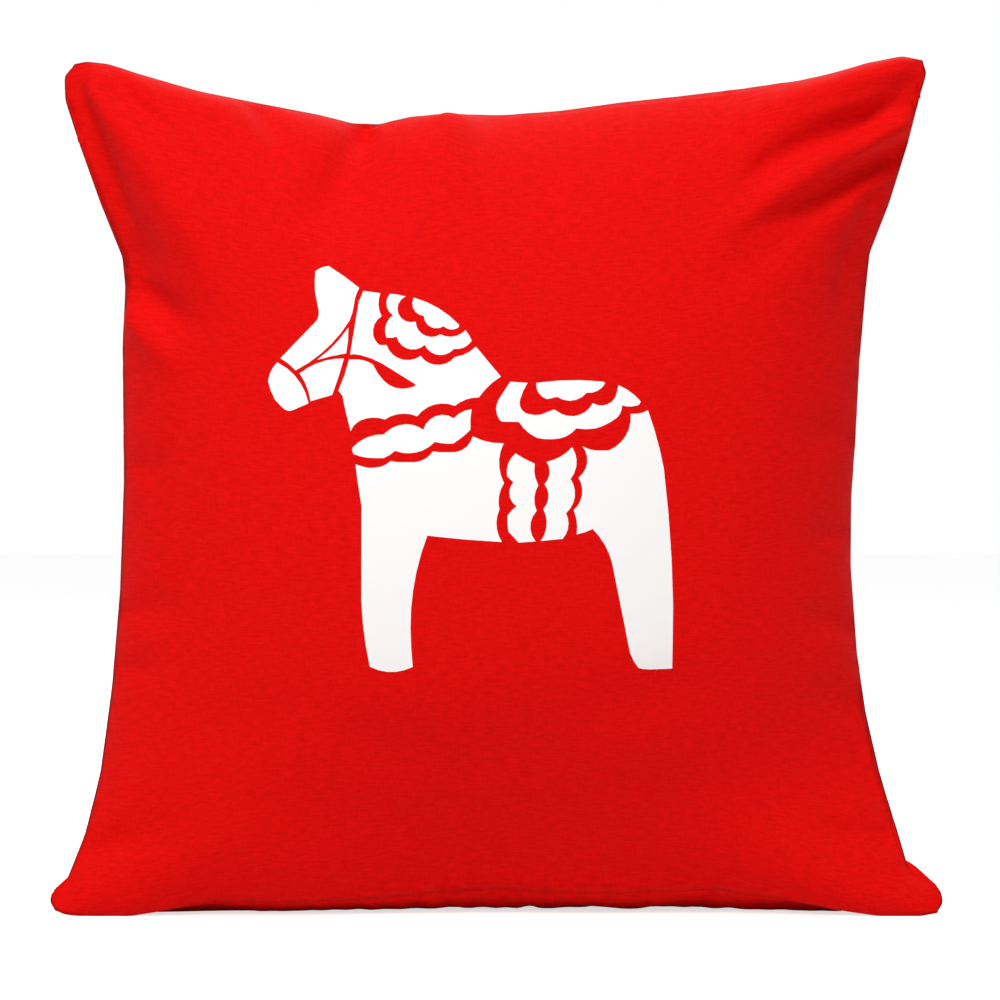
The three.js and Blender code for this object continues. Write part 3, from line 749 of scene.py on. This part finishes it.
def make_tape(side, sign):
    """One woven tape, from the zip's middle line outwards."""
    bm = bmesh.new()
    weave_plan = bm.loops.layers.uv.new("weave_plan")
    bmesh.ops.create_grid(bm, x_segments=120, y_segments=8, size=1)
    bmesh.ops.reverse_faces(bm, faces=bm.faces)
    for face in bm.faces:
        for loop in face.loops:
            loop[weave_plan].uv = (loop.vert.co.x * tape_half_length, loop.vert.co.y * tape_reach / 2)
    if sign < 0:
        bmesh.ops.reverse_faces(bm, faces=bm.faces)
    for vert in bm.verts:
        over = centre_gap + (vert.co.y + 1) / 2 * (tape_reach - centre_gap)
        edge_rise = tape_edge_rise * (abs(vert.co.y) > 0.9)
        straight = np.array([vert.co.x * tape_half_length, edge_rise, sign * over])
        vert.co = bend_to_zip(straight)
    bmesh.ops.recalc_face_normals(bm, faces=bm.faces)
    tape = new_piece(f"tape_{side}", bm, "tape", replaced=[f"zip_tape_{side}"])
    thicken(tape, tape_thickness, offset=0)


def coil_turn():
    """One turn of the nylon coil, which stands across the tape."""
    half_over = (coil_reach[1] - coil_reach[0]) / 2
    core = 1 * MM
    bm = bmesh.new()
    stand = Matrix.Translation((0, core, 0)) @ Matrix.Rotation(math.pi / 2, 4, "Y")
    bmesh.ops.create_circle(bm, segments=6, radius=coil_wire, matrix=stand)
    bmesh.ops.spin(
        bm, geom=bm.edges[:] + bm.verts[:], cent=(0, 0, 0), axis=(1, 0, 0),
        angle=2 * math.pi, steps=12, use_merge=True,
    )
    bmesh.ops.recalc_face_normals(bm, faces=bm.faces)
    for vert in bm.verts:
        out, over = vert.co.y, vert.co.z
        reach = math.hypot(out, over)
        vert.co.y = out / reach * (coil_half_out + reach - core - coil_wire)
        vert.co.z = over / reach * (half_over + reach - core - coil_wire)
    return bm


def make_coil(side, sign):
    """One row of coil turns; the two rows stand half a turn apart."""
    bm = bmesh.new()
    turn = coil_turn()
    middle_over = (coil_reach[0] + coil_reach[1]) / 2
    count = int(2 * zip_half_length / coil_pitch)
    shift = 0.25 * coil_pitch * sign
    lean = Matrix.Rotation(coil_lean * sign, 4, "Y")
    frames = []
    for i in range(count):
        along = -zip_half_length + (i + 0.5) * coil_pitch + shift
        frames.append(zip_frame(along, coil_middle_out, sign * middle_over) @ lean)
    add_copies(bm, turn, frames)
    turn.free()
    new_piece(f"coil_{side}", bm, "coil", replaced=[f"zip_coil_{side}"])


def eased_copy(node_name, name, slot, body, width):
    """A CAD piece with its edges rounded."""
    bm = bmesh.new()
    bm.from_mesh(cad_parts[node_name].data)
    bmesh.ops.remove_doubles(bm, verts=bm.verts, dist=1e-6)
    bmesh.ops.dissolve_limit(bm, angle_limit=math.radians(2), verts=bm.verts, edges=bm.edges)
    sharp = [e for e in bm.edges if e.calc_face_angle(0) > math.radians(30)]
    bmesh.ops.bevel(
        bm, geom=sharp, offset=width, affect="EDGES", segments=3, profile=0.5,
        material=-1, clamp_overlap=True,
    )
    bmesh.ops.recalc_face_normals(bm, faces=bm.faces)
    return new_piece(name, bm, slot, body, replaced=[node_name])


def make_zip_metal():
    """Stops, slider and pull."""
    eased_copy("zip_bottom_stop", "bottom_stop", "metal", "cushion", 0.35 * MM)
    for side in SIDES:
        eased_copy(f"zip_top_stop_{side}", f"top_stop_{side}", "metal", "cushion", 0.35 * MM)
    eased_copy("zip_slider", "slider", "metal", "slider", 0.18 * MM)
    eased_copy("zip_pull", "pull_tab", "metal", "pull", 0.3 * MM)


# ---- Threads --------------------------------------------------------------------------------

def stitch_shape(length, width, height):
    """One stitch: a short rounded length of thread along X, thicker in its middle."""
    bm = bmesh.new()
    bmesh.ops.create_uvsphere(bm, u_segments=8, v_segments=6, radius=0.5)
    bmesh.ops.rotate(bm, verts=bm.verts, matrix=Matrix.Rotation(math.pi / 2, 3, "Y"))
    for vert in bm.verts:
        from_middle = abs(2 * vert.co.x)
        fullness = 1
        if from_middle < 0.998:
            fullness = (1 - from_middle**3) ** 0.5 / (1 - from_middle**2) ** 0.5
        vert.co = (vert.co.x * length, vert.co.y * height * fullness, vert.co.z * width * fullness)
    return bm


def on_back(trees, along, over):
    """A frame on the outside of the back cloth over a place of the zip line."""
    start = Vector(bend_to_zip(np.array([along, 20 * MM, over])))
    outward = zip_frame(along).to_3x3() @ Vector((0, 1, 0))
    for tree in trees:
        spot, normal, face, gap = tree.ray_cast(start, -outward)
        if spot is not None:
            along_axis = zip_frame(along).to_3x3() @ Vector((1, 0, 0))
            side_axis = along_axis.cross(normal).normalized()
            turned = Matrix((normal.cross(side_axis), normal, side_axis)).transposed().to_4x4()
            return Matrix.Translation(spot) @ turned
    return None


def make_topstitch(side, sign, trees):
    """The row of stitches that holds a back panel to its tape."""
    bm = bmesh.new()
    stitch = stitch_shape(*stitch_size)
    frames = []
    count = int(2 * window_half_length / stitch_pitch)
    for i in range(count):
        along = (i + 0.5 - count / 2) * stitch_pitch
        place = on_back(trees, along, sign * stitch_line)
        if place is not None:
            frames.append(place @ Matrix.Translation((0, 0.1 * MM, 0)))
    add_copies(bm, stitch, frames)
    stitch.free()
    new_piece(f"topstitch_{side}", bm, "thread", replaced=[f"zip_topstitch_{side}"])


def make_bar_tack(side, sign, trees):
    """Close zigzag stitches across the end of the zip."""
    bm = bmesh.new()
    stitch = stitch_shape(*tack_stitch_size)
    frames = []
    for i in range(tack_stitch_count):
        over = (i - (tack_stitch_count - 1) / 2) * tack_stitch_pitch
        place = on_back(trees, sign * (window_half_length + tack_beyond_window), over)
        if place is not None:
            lean = Matrix.Rotation(tack_stitch_lean if i % 2 else -tack_stitch_lean, 4, "Y")
            frames.append(place @ Matrix.Translation((0, 0.16 * MM, 0)) @ lean)
    add_copies(bm, stitch, frames)
    stitch.free()
    new_piece(f"bar_tack_{side}", bm, "thread", replaced=[f"zip_bar_tack_{side}"])


overlock_inset = 9.2 * MM
overlock_end = 0.92             # share of each side that the stitches cover
overlock_count = 150
overlock_slant = 1.1            # radians between a stitch and the seam
overlock_size = (4.2 * MM, 0.5 * MM, 1.5 * MM)


def make_overlock():
    """Slanting stitches over the turned-in edges along each side of the seam."""
    bm = bmesh.new()
    stitch = stitch_shape(*overlock_size)
    frames = []
    share = np.linspace(-overlock_end, overlock_end, overlock_count)
    still = np.ones(overlock_count)
    for across, up in ((share, -still), (still, share), (share, still), (-still, share)):
        beside = abs(across[0]) == 1 and abs(up[0]) < 1
        for x, depth, height in skin_place(FRONT, across, up):
            if beside:
                x -= math.copysign(overlock_inset, x)
            else:
                height -= math.copysign(overlock_inset, height - corner_height / 2)
            turn = (math.pi / 2 if beside else 0) + overlock_slant
            place = Matrix.Translation((x, seam_depth_at(height), height))
            frames.append(place @ Matrix.Rotation(turn, 4, "Y"))
    add_copies(bm, stitch, frames)
    stitch.free()
    new_piece("overlock", bm, "thread", replaced=["overlock_thread"])


# ---- Materials ------------------------------------------------------------------------------

finishes = {}
threads_per_metre = 2400.0
plies_per_metre = 1800.0
ribs_per_metre = 1250.0
seen_glow = 0.68                # light that the camera sees on the white ground and does not cast


def node_of(tree, kind, links=None, **settings):
    """Adds a node, sets its properties and feeds its inputs with values or other outputs."""
    node = tree.nodes.new(kind)
    for key, value in settings.items():
        setattr(node, key, value)
    for key, value in (links or {}).items():
        if isinstance(value, bpy.types.NodeSocket):
            tree.links.new(value, node.inputs[key])
        else:
            node.inputs[key].default_value = value
    return node


def sum_of(tree, operation, first, second=None, third=None):
    """A math node's output."""
    links = {0: first}
    if second is not None:
        links[1] = second
    if third is not None:
        links[2] = third
    return node_of(tree, "ShaderNodeMath", links, operation=operation).outputs[0]


def times(tree, first, second):
    return sum_of(tree, "MULTIPLY", first, second)


def scaled(tree, value, factor, added):
    """A value times a factor, plus a number or another value."""
    return sum_of(tree, "MULTIPLY_ADD", value, factor, added)


def blend_colours(tree, share, first, second):
    node = node_of(tree, "ShaderNodeMix", {0: share, 6: first, 7: second}, data_type="RGBA")
    return node.outputs[2]


def noise_at(tree, place, scale=1.0, **details):
    """Noise over a place; details are the node's own inputs, such as Detail."""
    links = {"Vector": place, "Scale": scale, **details}
    return node_of(tree, "ShaderNodeTexNoise", links).outputs["Fac"]


def stretched(tree, place, scale):
    return node_of(tree, "ShaderNodeMapping", {"Vector": place, "Scale": scale}).outputs[0]


def mask_between(tree, value, start, end):
    """From 0 where the value is at its start to 1 at its end."""
    links = {0: value, 1: start, 2: end, 3: 0.0, 4: 1.0}
    return node_of(tree, "ShaderNodeMapRange", links).outputs[0]


def mixed(tree, share, first, second):
    links = {0: share, 2: first, 3: second}
    return node_of(tree, "ShaderNodeMix", links, data_type="FLOAT").outputs[0]


def new_group(name, inputs, outputs):
    """A node group with named inputs (with their usual values) and outputs."""
    group = bpy.data.node_groups.new(name, "ShaderNodeTree")
    for label, kind, value in inputs:
        socket = group.interface.new_socket(label, in_out="INPUT", socket_type=kind)
        if value is not None:
            socket.default_value = value
    for label, kind in outputs:
        group.interface.new_socket(label, in_out="OUTPUT", socket_type=kind)
    return group, group.nodes.new("NodeGroupInput"), group.nodes.new("NodeGroupOutput")


def plain_weave_group():
    """Plain weave: threads that pass over and under each other, with a few thicker ones."""
    group, start, end = new_group(
        "plain_weave",
        [("Place", "NodeSocketVector", None), ("Threads per metre", "NodeSocketFloat", threads_per_metre)],
        [("Height", "NodeSocketFloat"), ("Slub", "NodeSocketFloat"), ("Unevenness", "NodeSocketFloat")],
    )
    place, density = start.outputs["Place"], start.outputs["Threads per metre"]
    axes = node_of(group, "ShaderNodeSeparateXYZ", {0: place})
    drift = scaled(group, noise_at(group, place, 55.0, Detail=2.0), 1.6, -0.8)
    warp = scaled(group, axes.outputs[0], density, drift)
    weft = scaled(group, axes.outputs[1], density, drift)
    warp_run = sum_of(group, "SUBTRACT", sum_of(group, "FRACT", warp), 0.5)
    weft_run = sum_of(group, "SUBTRACT", sum_of(group, "FRACT", weft), 0.5)
    warp_round = sum_of(group, "COSINE", times(group, warp_run, math.pi))
    weft_round = sum_of(group, "COSINE", times(group, weft_run, math.pi))
    crossing = sum_of(group, "ADD", sum_of(group, "FLOOR", warp), sum_of(group, "FLOOR", weft))
    over = sum_of(group, "PINGPONG", crossing, 1.0)
    warp_over = times(group, warp_round, scaled(group, weft_round, 0.45, 0.55))
    weft_over = times(group, weft_round, scaled(group, warp_round, 0.45, 0.55))
    height = mixed(group, over, warp_over, weft_over)
    slubs = noise_at(group, stretched(group, place, (70.0, 1300.0, 1.0)), Detail=3.0)
    slub = mask_between(group, slubs, 0.55, 0.82)
    weft_wear = noise_at(group, stretched(group, place, (150.0, 800.0, 1.0)), Detail=2.0)
    warp_wear = noise_at(group, stretched(group, place, (750.0, 220.0, 1.0)), Detail=2.0)
    uneven = mask_between(group, mixed(group, 0.35, weft_wear, warp_wear), 0.40, 0.62)
    group.links.new(scaled(group, slub, 0.2, height), end.inputs["Height"])
    group.links.new(slub, end.inputs["Slub"])
    group.links.new(uneven, end.inputs["Unevenness"])
    return group


def soft_mottle_group():
    """Slow unevenness of a dyed or worn surface."""
    group, start, end = new_group(
        "soft_mottle",
        [("Place", "NodeSocketVector", None), ("Scale", "NodeSocketFloat", 20.0)],
        [("Mask", "NodeSocketFloat")],
    )
    blotches = noise_at(group, start.outputs["Place"], start.outputs["Scale"], Detail=4.0, Roughness=0.6)
    group.links.new(mask_between(group, blotches, 0.3, 0.7), end.inputs["Mask"])
    return group


def twisted_thread_group():
    """The slanting plies of a sewing thread."""
    group, start, end = new_group(
        "twisted_thread",
        [("Place", "NodeSocketVector", None), ("Plies per metre", "NodeSocketFloat", plies_per_metre)],
        [("Height", "NodeSocketFloat")],
    )
    axes = node_of(group, "ShaderNodeSeparateXYZ", {0: start.outputs["Place"]})
    slant = sum_of(group, "ADD", scaled(group, axes.outputs[2], 0.8, axes.outputs[0]), axes.outputs[1])
    turns = times(group, slant, start.outputs["Plies per metre"])
    wave = sum_of(group, "SINE", times(group, turns, 2 * math.pi))
    group.links.new(scaled(group, wave, 0.5, 0.5), end.inputs["Height"])
    return group


def new_finish(name):
    material = bpy.data.materials.new(name)
    material.use_nodes = True
    tree = material.node_tree
    finishes[name] = material
    return tree, tree.nodes["Principled BSDF"]


def use_group(tree, name, **links):
    node = tree.nodes.new("ShaderNodeGroup")
    node.node_tree = groups[name]
    for key, value in links.items():
        label = key.replace("_", " ")
        if isinstance(value, bpy.types.NodeSocket):
            tree.links.new(value, node.inputs[label])
        else:
            node.inputs[label].default_value = value
    return node


def add_bump(tree, shader, height, distance, strength=1.0):
    bump = node_of(tree, "ShaderNodeBump", {"Height": height, "Distance": distance, "Strength": strength})
    tree.links.new(bump.outputs[0], shader.inputs["Normal"])


def set_values(shader, **values):
    for key, value in values.items():
        shader.inputs[key.replace("_", " ")].default_value = value


def cover_finish():
    """Bright red plain cotton with faint level slubs and uneven threads."""
    tree, shader = new_finish("cover")
    place = node_of(tree, "ShaderNodeUVMap", uv_map="cloth_plan").outputs[0]
    weave = use_group(tree, "plain_weave", Place=place, Threads_per_metre=threads_per_metre)
    mottle = use_group(tree, "soft_mottle", Place=place, Scale=9.0)
    height = weave.outputs["Height"]
    # painted shade: the low parts of the weave are painted darker and the high crossings lighter
    low_thread, high_thread = (0.70, 0.0010, 0.0008, 1), (0.90, 0.0040, 0.0028, 1)
    shaded_weave = blend_colours(tree, height, low_thread, high_thread)
    patch_share = times(tree, weave.outputs["Unevenness"], 0.5)
    patchy = blend_colours(tree, patch_share, shaded_weave, (0.56, 0.0006, 0.0005, 1))
    slub_share = times(tree, weave.outputs["Slub"], 0.35)
    slubbed = blend_colours(tree, slub_share, patchy, (0.92, 0.009, 0.006, 1))
    mottle_share = times(tree, mottle.outputs["Mask"], 0.10)
    colour = blend_colours(tree, mottle_share, slubbed, (0.70, 0.003, 0.002, 1))
    tree.links.new(colour, shader.inputs["Base Color"])
    tree.links.new(scaled(tree, height, -0.1, 0.86), shader.inputs["Roughness"])
    set_values(shader, Specular_IOR_Level=0.07, Sheen_Weight=0.035, Sheen_Roughness=0.4)
    set_values(shader, Sheen_Tint=(1.0, 0.30, 0.22, 1))
    add_bump(tree, shader, height, 0.08 * MM, 0.7)


def print_finish():
    """Opaque white ink that follows the weave."""
    tree, shader = new_finish("print")
    place = node_of(tree, "ShaderNodeTexCoord").outputs["Object"]
    laid_flat = {"Vector": place, "Rotation": (math.radians(-90), 0, 0)}
    level = node_of(tree, "ShaderNodeMapping", laid_flat).outputs[0]
    weave = use_group(tree, "plain_weave", Place=level, Threads_per_metre=threads_per_metre)
    mottle = use_group(tree, "soft_mottle", Place=place, Scale=60.0)
    height, mask = weave.outputs["Height"], mottle.outputs["Mask"]
    # painted shade: the ink over the low parts of the weave is painted darker and a little warmer than
    # over the high crossings
    thin = blend_colours(tree, height, (0.90, 0.875, 0.865, 1), (0.975, 0.97, 0.965, 1))
    colour = blend_colours(tree, times(tree, mask, 0.25), thin, (0.93, 0.92, 0.915, 1))
    tree.links.new(colour, shader.inputs["Base Color"])
    tree.links.new(scaled(tree, mask, 0.1, 0.52), shader.inputs["Roughness"])
    set_values(shader, Specular_IOR_Level=0.3)
    add_bump(tree, shader, height, 0.05 * MM, 0.4)


def thread_finish():
    """Spun polyester sewing thread."""
    tree, shader = new_finish("thread")
    place = node_of(tree, "ShaderNodeTexCoord").outputs["Object"]
    plies = use_group(tree, "twisted_thread", Place=place, Plies_per_metre=plies_per_metre)
    height = plies.outputs["Height"]
    # painted shade: the grooves between the plies are painted darker and their crests lighter
    colour = blend_colours(tree, height, (0.50, 0.001, 0.001, 1), (0.82, 0.004, 0.003, 1))
    tree.links.new(colour, shader.inputs["Base Color"])
    tree.links.new(scaled(tree, height, -0.15, 0.6), shader.inputs["Roughness"])
    set_values(shader, Specular_IOR_Level=0.12, Sheen_Weight=0.04, Sheen_Tint=(1.0, 0.3, 0.25, 1))
    add_bump(tree, shader, height, 0.08 * MM)


def tape_finish():
    """Herringbone zip tape."""
    tree, shader = new_finish("tape")
    place = node_of(tree, "ShaderNodeUVMap", uv_map="weave_plan").outputs[0]
    axes = node_of(tree, "ShaderNodeSeparateXYZ", {0: place})
    zigzag = sum_of(tree, "PINGPONG", axes.outputs[1], 1.6 * MM)
    slant = sum_of(tree, "ADD", axes.outputs[0], zigzag)
    wave = sum_of(tree, "SINE", times(tree, slant, 2 * math.pi * ribs_per_metre))
    rib = scaled(tree, wave, 0.5, 0.5)
    mottle = use_group(tree, "soft_mottle", Place=place, Scale=400.0)
    # painted shade: the grooves between the ribs are painted darker and the ribs lighter
    shaded_ribs = blend_colours(tree, rib, (0.33, 0.0015, 0.0012, 1), (0.66, 0.009, 0.006, 1))
    mottle_share = times(tree, mottle.outputs["Mask"], 0.25)
    colour = blend_colours(tree, mottle_share, shaded_ribs, (0.45, 0.004, 0.003, 1))
    tree.links.new(colour, shader.inputs["Base Color"])
    tree.links.new(scaled(tree, rib, -0.1, 0.8), shader.inputs["Roughness"])
    set_values(shader, Specular_IOR_Level=0.12, Sheen_Weight=0.04, Sheen_Tint=(1.0, 0.3, 0.25, 1))
    add_bump(tree, shader, rib, 0.12 * MM)


def coil_finish():
    """Dyed nylon wire, smooth and a little milky."""
    tree, shader = new_finish("coil")
    place = node_of(tree, "ShaderNodeTexCoord").outputs["Object"]
    mask = use_group(tree, "soft_mottle", Place=place, Scale=900.0).outputs["Mask"]
    colour = blend_colours(tree, mask, (0.48, 0.004, 0.003, 1), (0.62, 0.010, 0.008, 1))
    tree.links.new(colour, shader.inputs["Base Color"])
    tree.links.new(scaled(tree, mask, 0.12, 0.26), shader.inputs["Roughness"])
    set_values(shader, Specular_IOR_Level=0.5, Coat_Weight=0.15, Coat_Roughness=0.2)
    add_bump(tree, shader, mask, 0.02 * MM)


def metal_finish():
    """Nickel plating with fine scuffs."""
    tree, shader = new_finish("metal")
    place = node_of(tree, "ShaderNodeTexCoord").outputs["Object"]
    mask = use_group(tree, "soft_mottle", Place=place, Scale=500.0).outputs["Mask"]
    scuffs = noise_at(tree, stretched(tree, place, (300.0, 4000.0, 4000.0)), Detail=2.0)
    colour = blend_colours(tree, mask, (0.60, 0.59, 0.58, 1), (0.72, 0.72, 0.72, 1))
    tree.links.new(colour, shader.inputs["Base Color"])
    tree.links.new(scaled(tree, scuffs, 0.2, 0.16), shader.inputs["Roughness"])
    set_values(shader, Metallic=1.0)
    add_bump(tree, shader, scuffs, 0.02 * MM, 0.5)


def insert_finish():
    """Undyed non-woven case with bonded dots."""
    tree, shader = new_finish("insert")
    place = node_of(tree, "ShaderNodeUVMap", uv_map="cloth_plan").outputs[0]
    dots = node_of(tree, "ShaderNodeTexVoronoi", {"Vector": place, "Scale": 700.0, "Randomness": 0.15})
    bonded = mask_between(tree, dots.outputs["Distance"], 0.25, 0.4)
    fibres = noise_at(tree, place, 2500.0, Detail=3.0, Distortion=1.5)
    height = scaled(tree, fibres, 0.4, bonded)
    colour = blend_colours(tree, bonded, (0.80, 0.78, 0.74, 1), (0.90, 0.89, 0.86, 1))
    tree.links.new(colour, shader.inputs["Base Color"])
    tree.links.new(scaled(tree, bonded, 0.15, 0.75), shader.inputs["Roughness"])
    set_values(shader, Specular_IOR_Level=0.25, Sheen_Weight=0.1)
    add_bump(tree, shader, height, 0.1 * MM)


def filling_finish():
    """Loose crimped fibre."""
    tree, shader = new_finish("filling")
    place = node_of(tree, "ShaderNodeTexCoord").outputs["Object"]
    fibres = noise_at(tree, place, 350.0, Detail=6.0, Roughness=0.75, Distortion=3.0)
    # painted shade: the low parts of the fibre relief are painted darker and the high parts lighter
    colour = blend_colours(tree, fibres, (0.82, 0.82, 0.82, 1), (0.97, 0.97, 0.97, 1))
    tree.links.new(colour, shader.inputs["Base Color"])
    tree.links.new(scaled(tree, fibres, 0.1, 0.9), shader.inputs["Roughness"])
    set_values(shader, Sheen_Weight=0.4)
    add_bump(tree, shader, fibres, 1.2 * MM)


def floor_finish():
    """White sweep that stays white to the camera."""
    tree, shader = new_finish("floor")
    place = node_of(tree, "ShaderNodeTexCoord").outputs["Object"]
    mask = use_group(tree, "soft_mottle", Place=place, Scale=3.0).outputs["Mask"]
    colour = blend_colours(tree, mask, (0.90, 0.90, 0.90, 1), (0.93, 0.93, 0.93, 1))
    tree.links.new(colour, shader.inputs["Base Color"])
    set_values(shader, Roughness=0.95, Specular_IOR_Level=0.1, Emission_Color=(1, 1, 1, 1))
    seen = node_of(tree, "ShaderNodeLightPath").outputs["Is Camera Ray"]
    tree.links.new(times(tree, seen, seen_glow), shader.inputs["Emission Strength"])


groups = {
    "plain_weave": plain_weave_group(),
    "soft_mottle": soft_mottle_group(),
    "twisted_thread": twisted_thread_group(),
}


# ---- Studio ---------------------------------------------------------------------------------

camera_place = (0.002, -1.8174, 0.2045)
lamp_aim = (0, 0, 0.2)
lamps = [       # name, place, size in metres, power in watts
    ("key_light", (-0.35, -1.3, 2.3), 1.1, 51),
    ("back_light", (0.5, 1.8, 1.9), 1.3, 26),
]


def add_camera():
    data = bpy.data.cameras.new("camera")
    data.lens = 130
    data.sensor_width = 36
    camera = bpy.data.objects.new("camera", data)
    camera.location = camera_place
    camera.rotation_euler = (math.radians(90), 0, 0)
    bpy.context.scene.collection.objects.link(camera)
    bpy.context.scene.camera = camera


def add_area_light(name, place, size, power):
    data = bpy.data.lights.new(name, "AREA")
    data.shape = "SQUARE"
    data.size = size
    data.energy = power
    lamp = bpy.data.objects.new(name, data)
    lamp.location = place
    lamp.rotation_euler = (Vector(lamp_aim) - Vector(place)).to_track_quat("-Z", "Y").to_euler()
    bpy.context.scene.collection.objects.link(lamp)


def add_studio():
    """White ground, even light from all round, and two lamps."""
    scene = bpy.context.scene
    scene.view_settings.view_transform = "Standard"
    world = bpy.data.worlds.new("studio")
    scene.world = world
    world.use_nodes = True
    background = world.node_tree.nodes["Background"]
    background.inputs["Color"].default_value = (1, 1, 1, 1)
    seen = node_of(world.node_tree, "ShaderNodeLightPath").outputs["Is Camera Ray"]
    strength = scaled(world.node_tree, seen, seen_glow, 1 - seen_glow)
    world.node_tree.links.new(strength, background.inputs["Strength"])
    bm = bmesh.new()
    bmesh.ops.create_grid(bm, x_segments=8, y_segments=8, size=12)
    mesh = bpy.data.meshes.new("floor")
    bm.to_mesh(mesh)
    bm.free()
    floor = bpy.data.objects.new("floor", mesh)
    scene.collection.objects.link(floor)
    mesh.materials.append(finishes["floor"])
    for lamp in lamps:
        add_area_light(*lamp)


# ---- Assembly -------------------------------------------------------------------------------

for make_finish in (
    cover_finish, print_finish, thread_finish, tape_finish, coil_finish,
    metal_finish, insert_finish, filling_finish, floor_finish,
):
    make_finish()
add_camera()
add_studio()

cushion = sew_cushion()
press_folds(cushion.data, fold_share_before)
settle_cloth(cushion)
press_folds(cushion.data, fold_share_after)
make_finer(cushion)
front_tree = make_front_panel(cushion)
back_trees = [
    make_back_panel(cushion, "cover_back_upper", "back_panel_upper", 1),
    make_back_panel(cushion, "cover_back_lower", "back_panel_lower", -1),
]
cloth_trees = {FRONT: [front_tree], BACK: back_trees}
make_insert(cushion, cloth_trees)
make_filling(cushion, cloth_trees)
make_overlock()
for node_name in sorted(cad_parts):
    if node_name.startswith("print_"):
        make_ink_field(node_name, front_tree)
for side, sign in SIDES.items():
    make_tape(side, sign)
    make_coil(side, sign)
    make_topstitch(side, sign, back_trees)
make_bar_tack("left", -1, back_trees)
make_bar_tack("right", 1, back_trees)
make_zip_metal()
bpy.data.objects.remove(cushion)
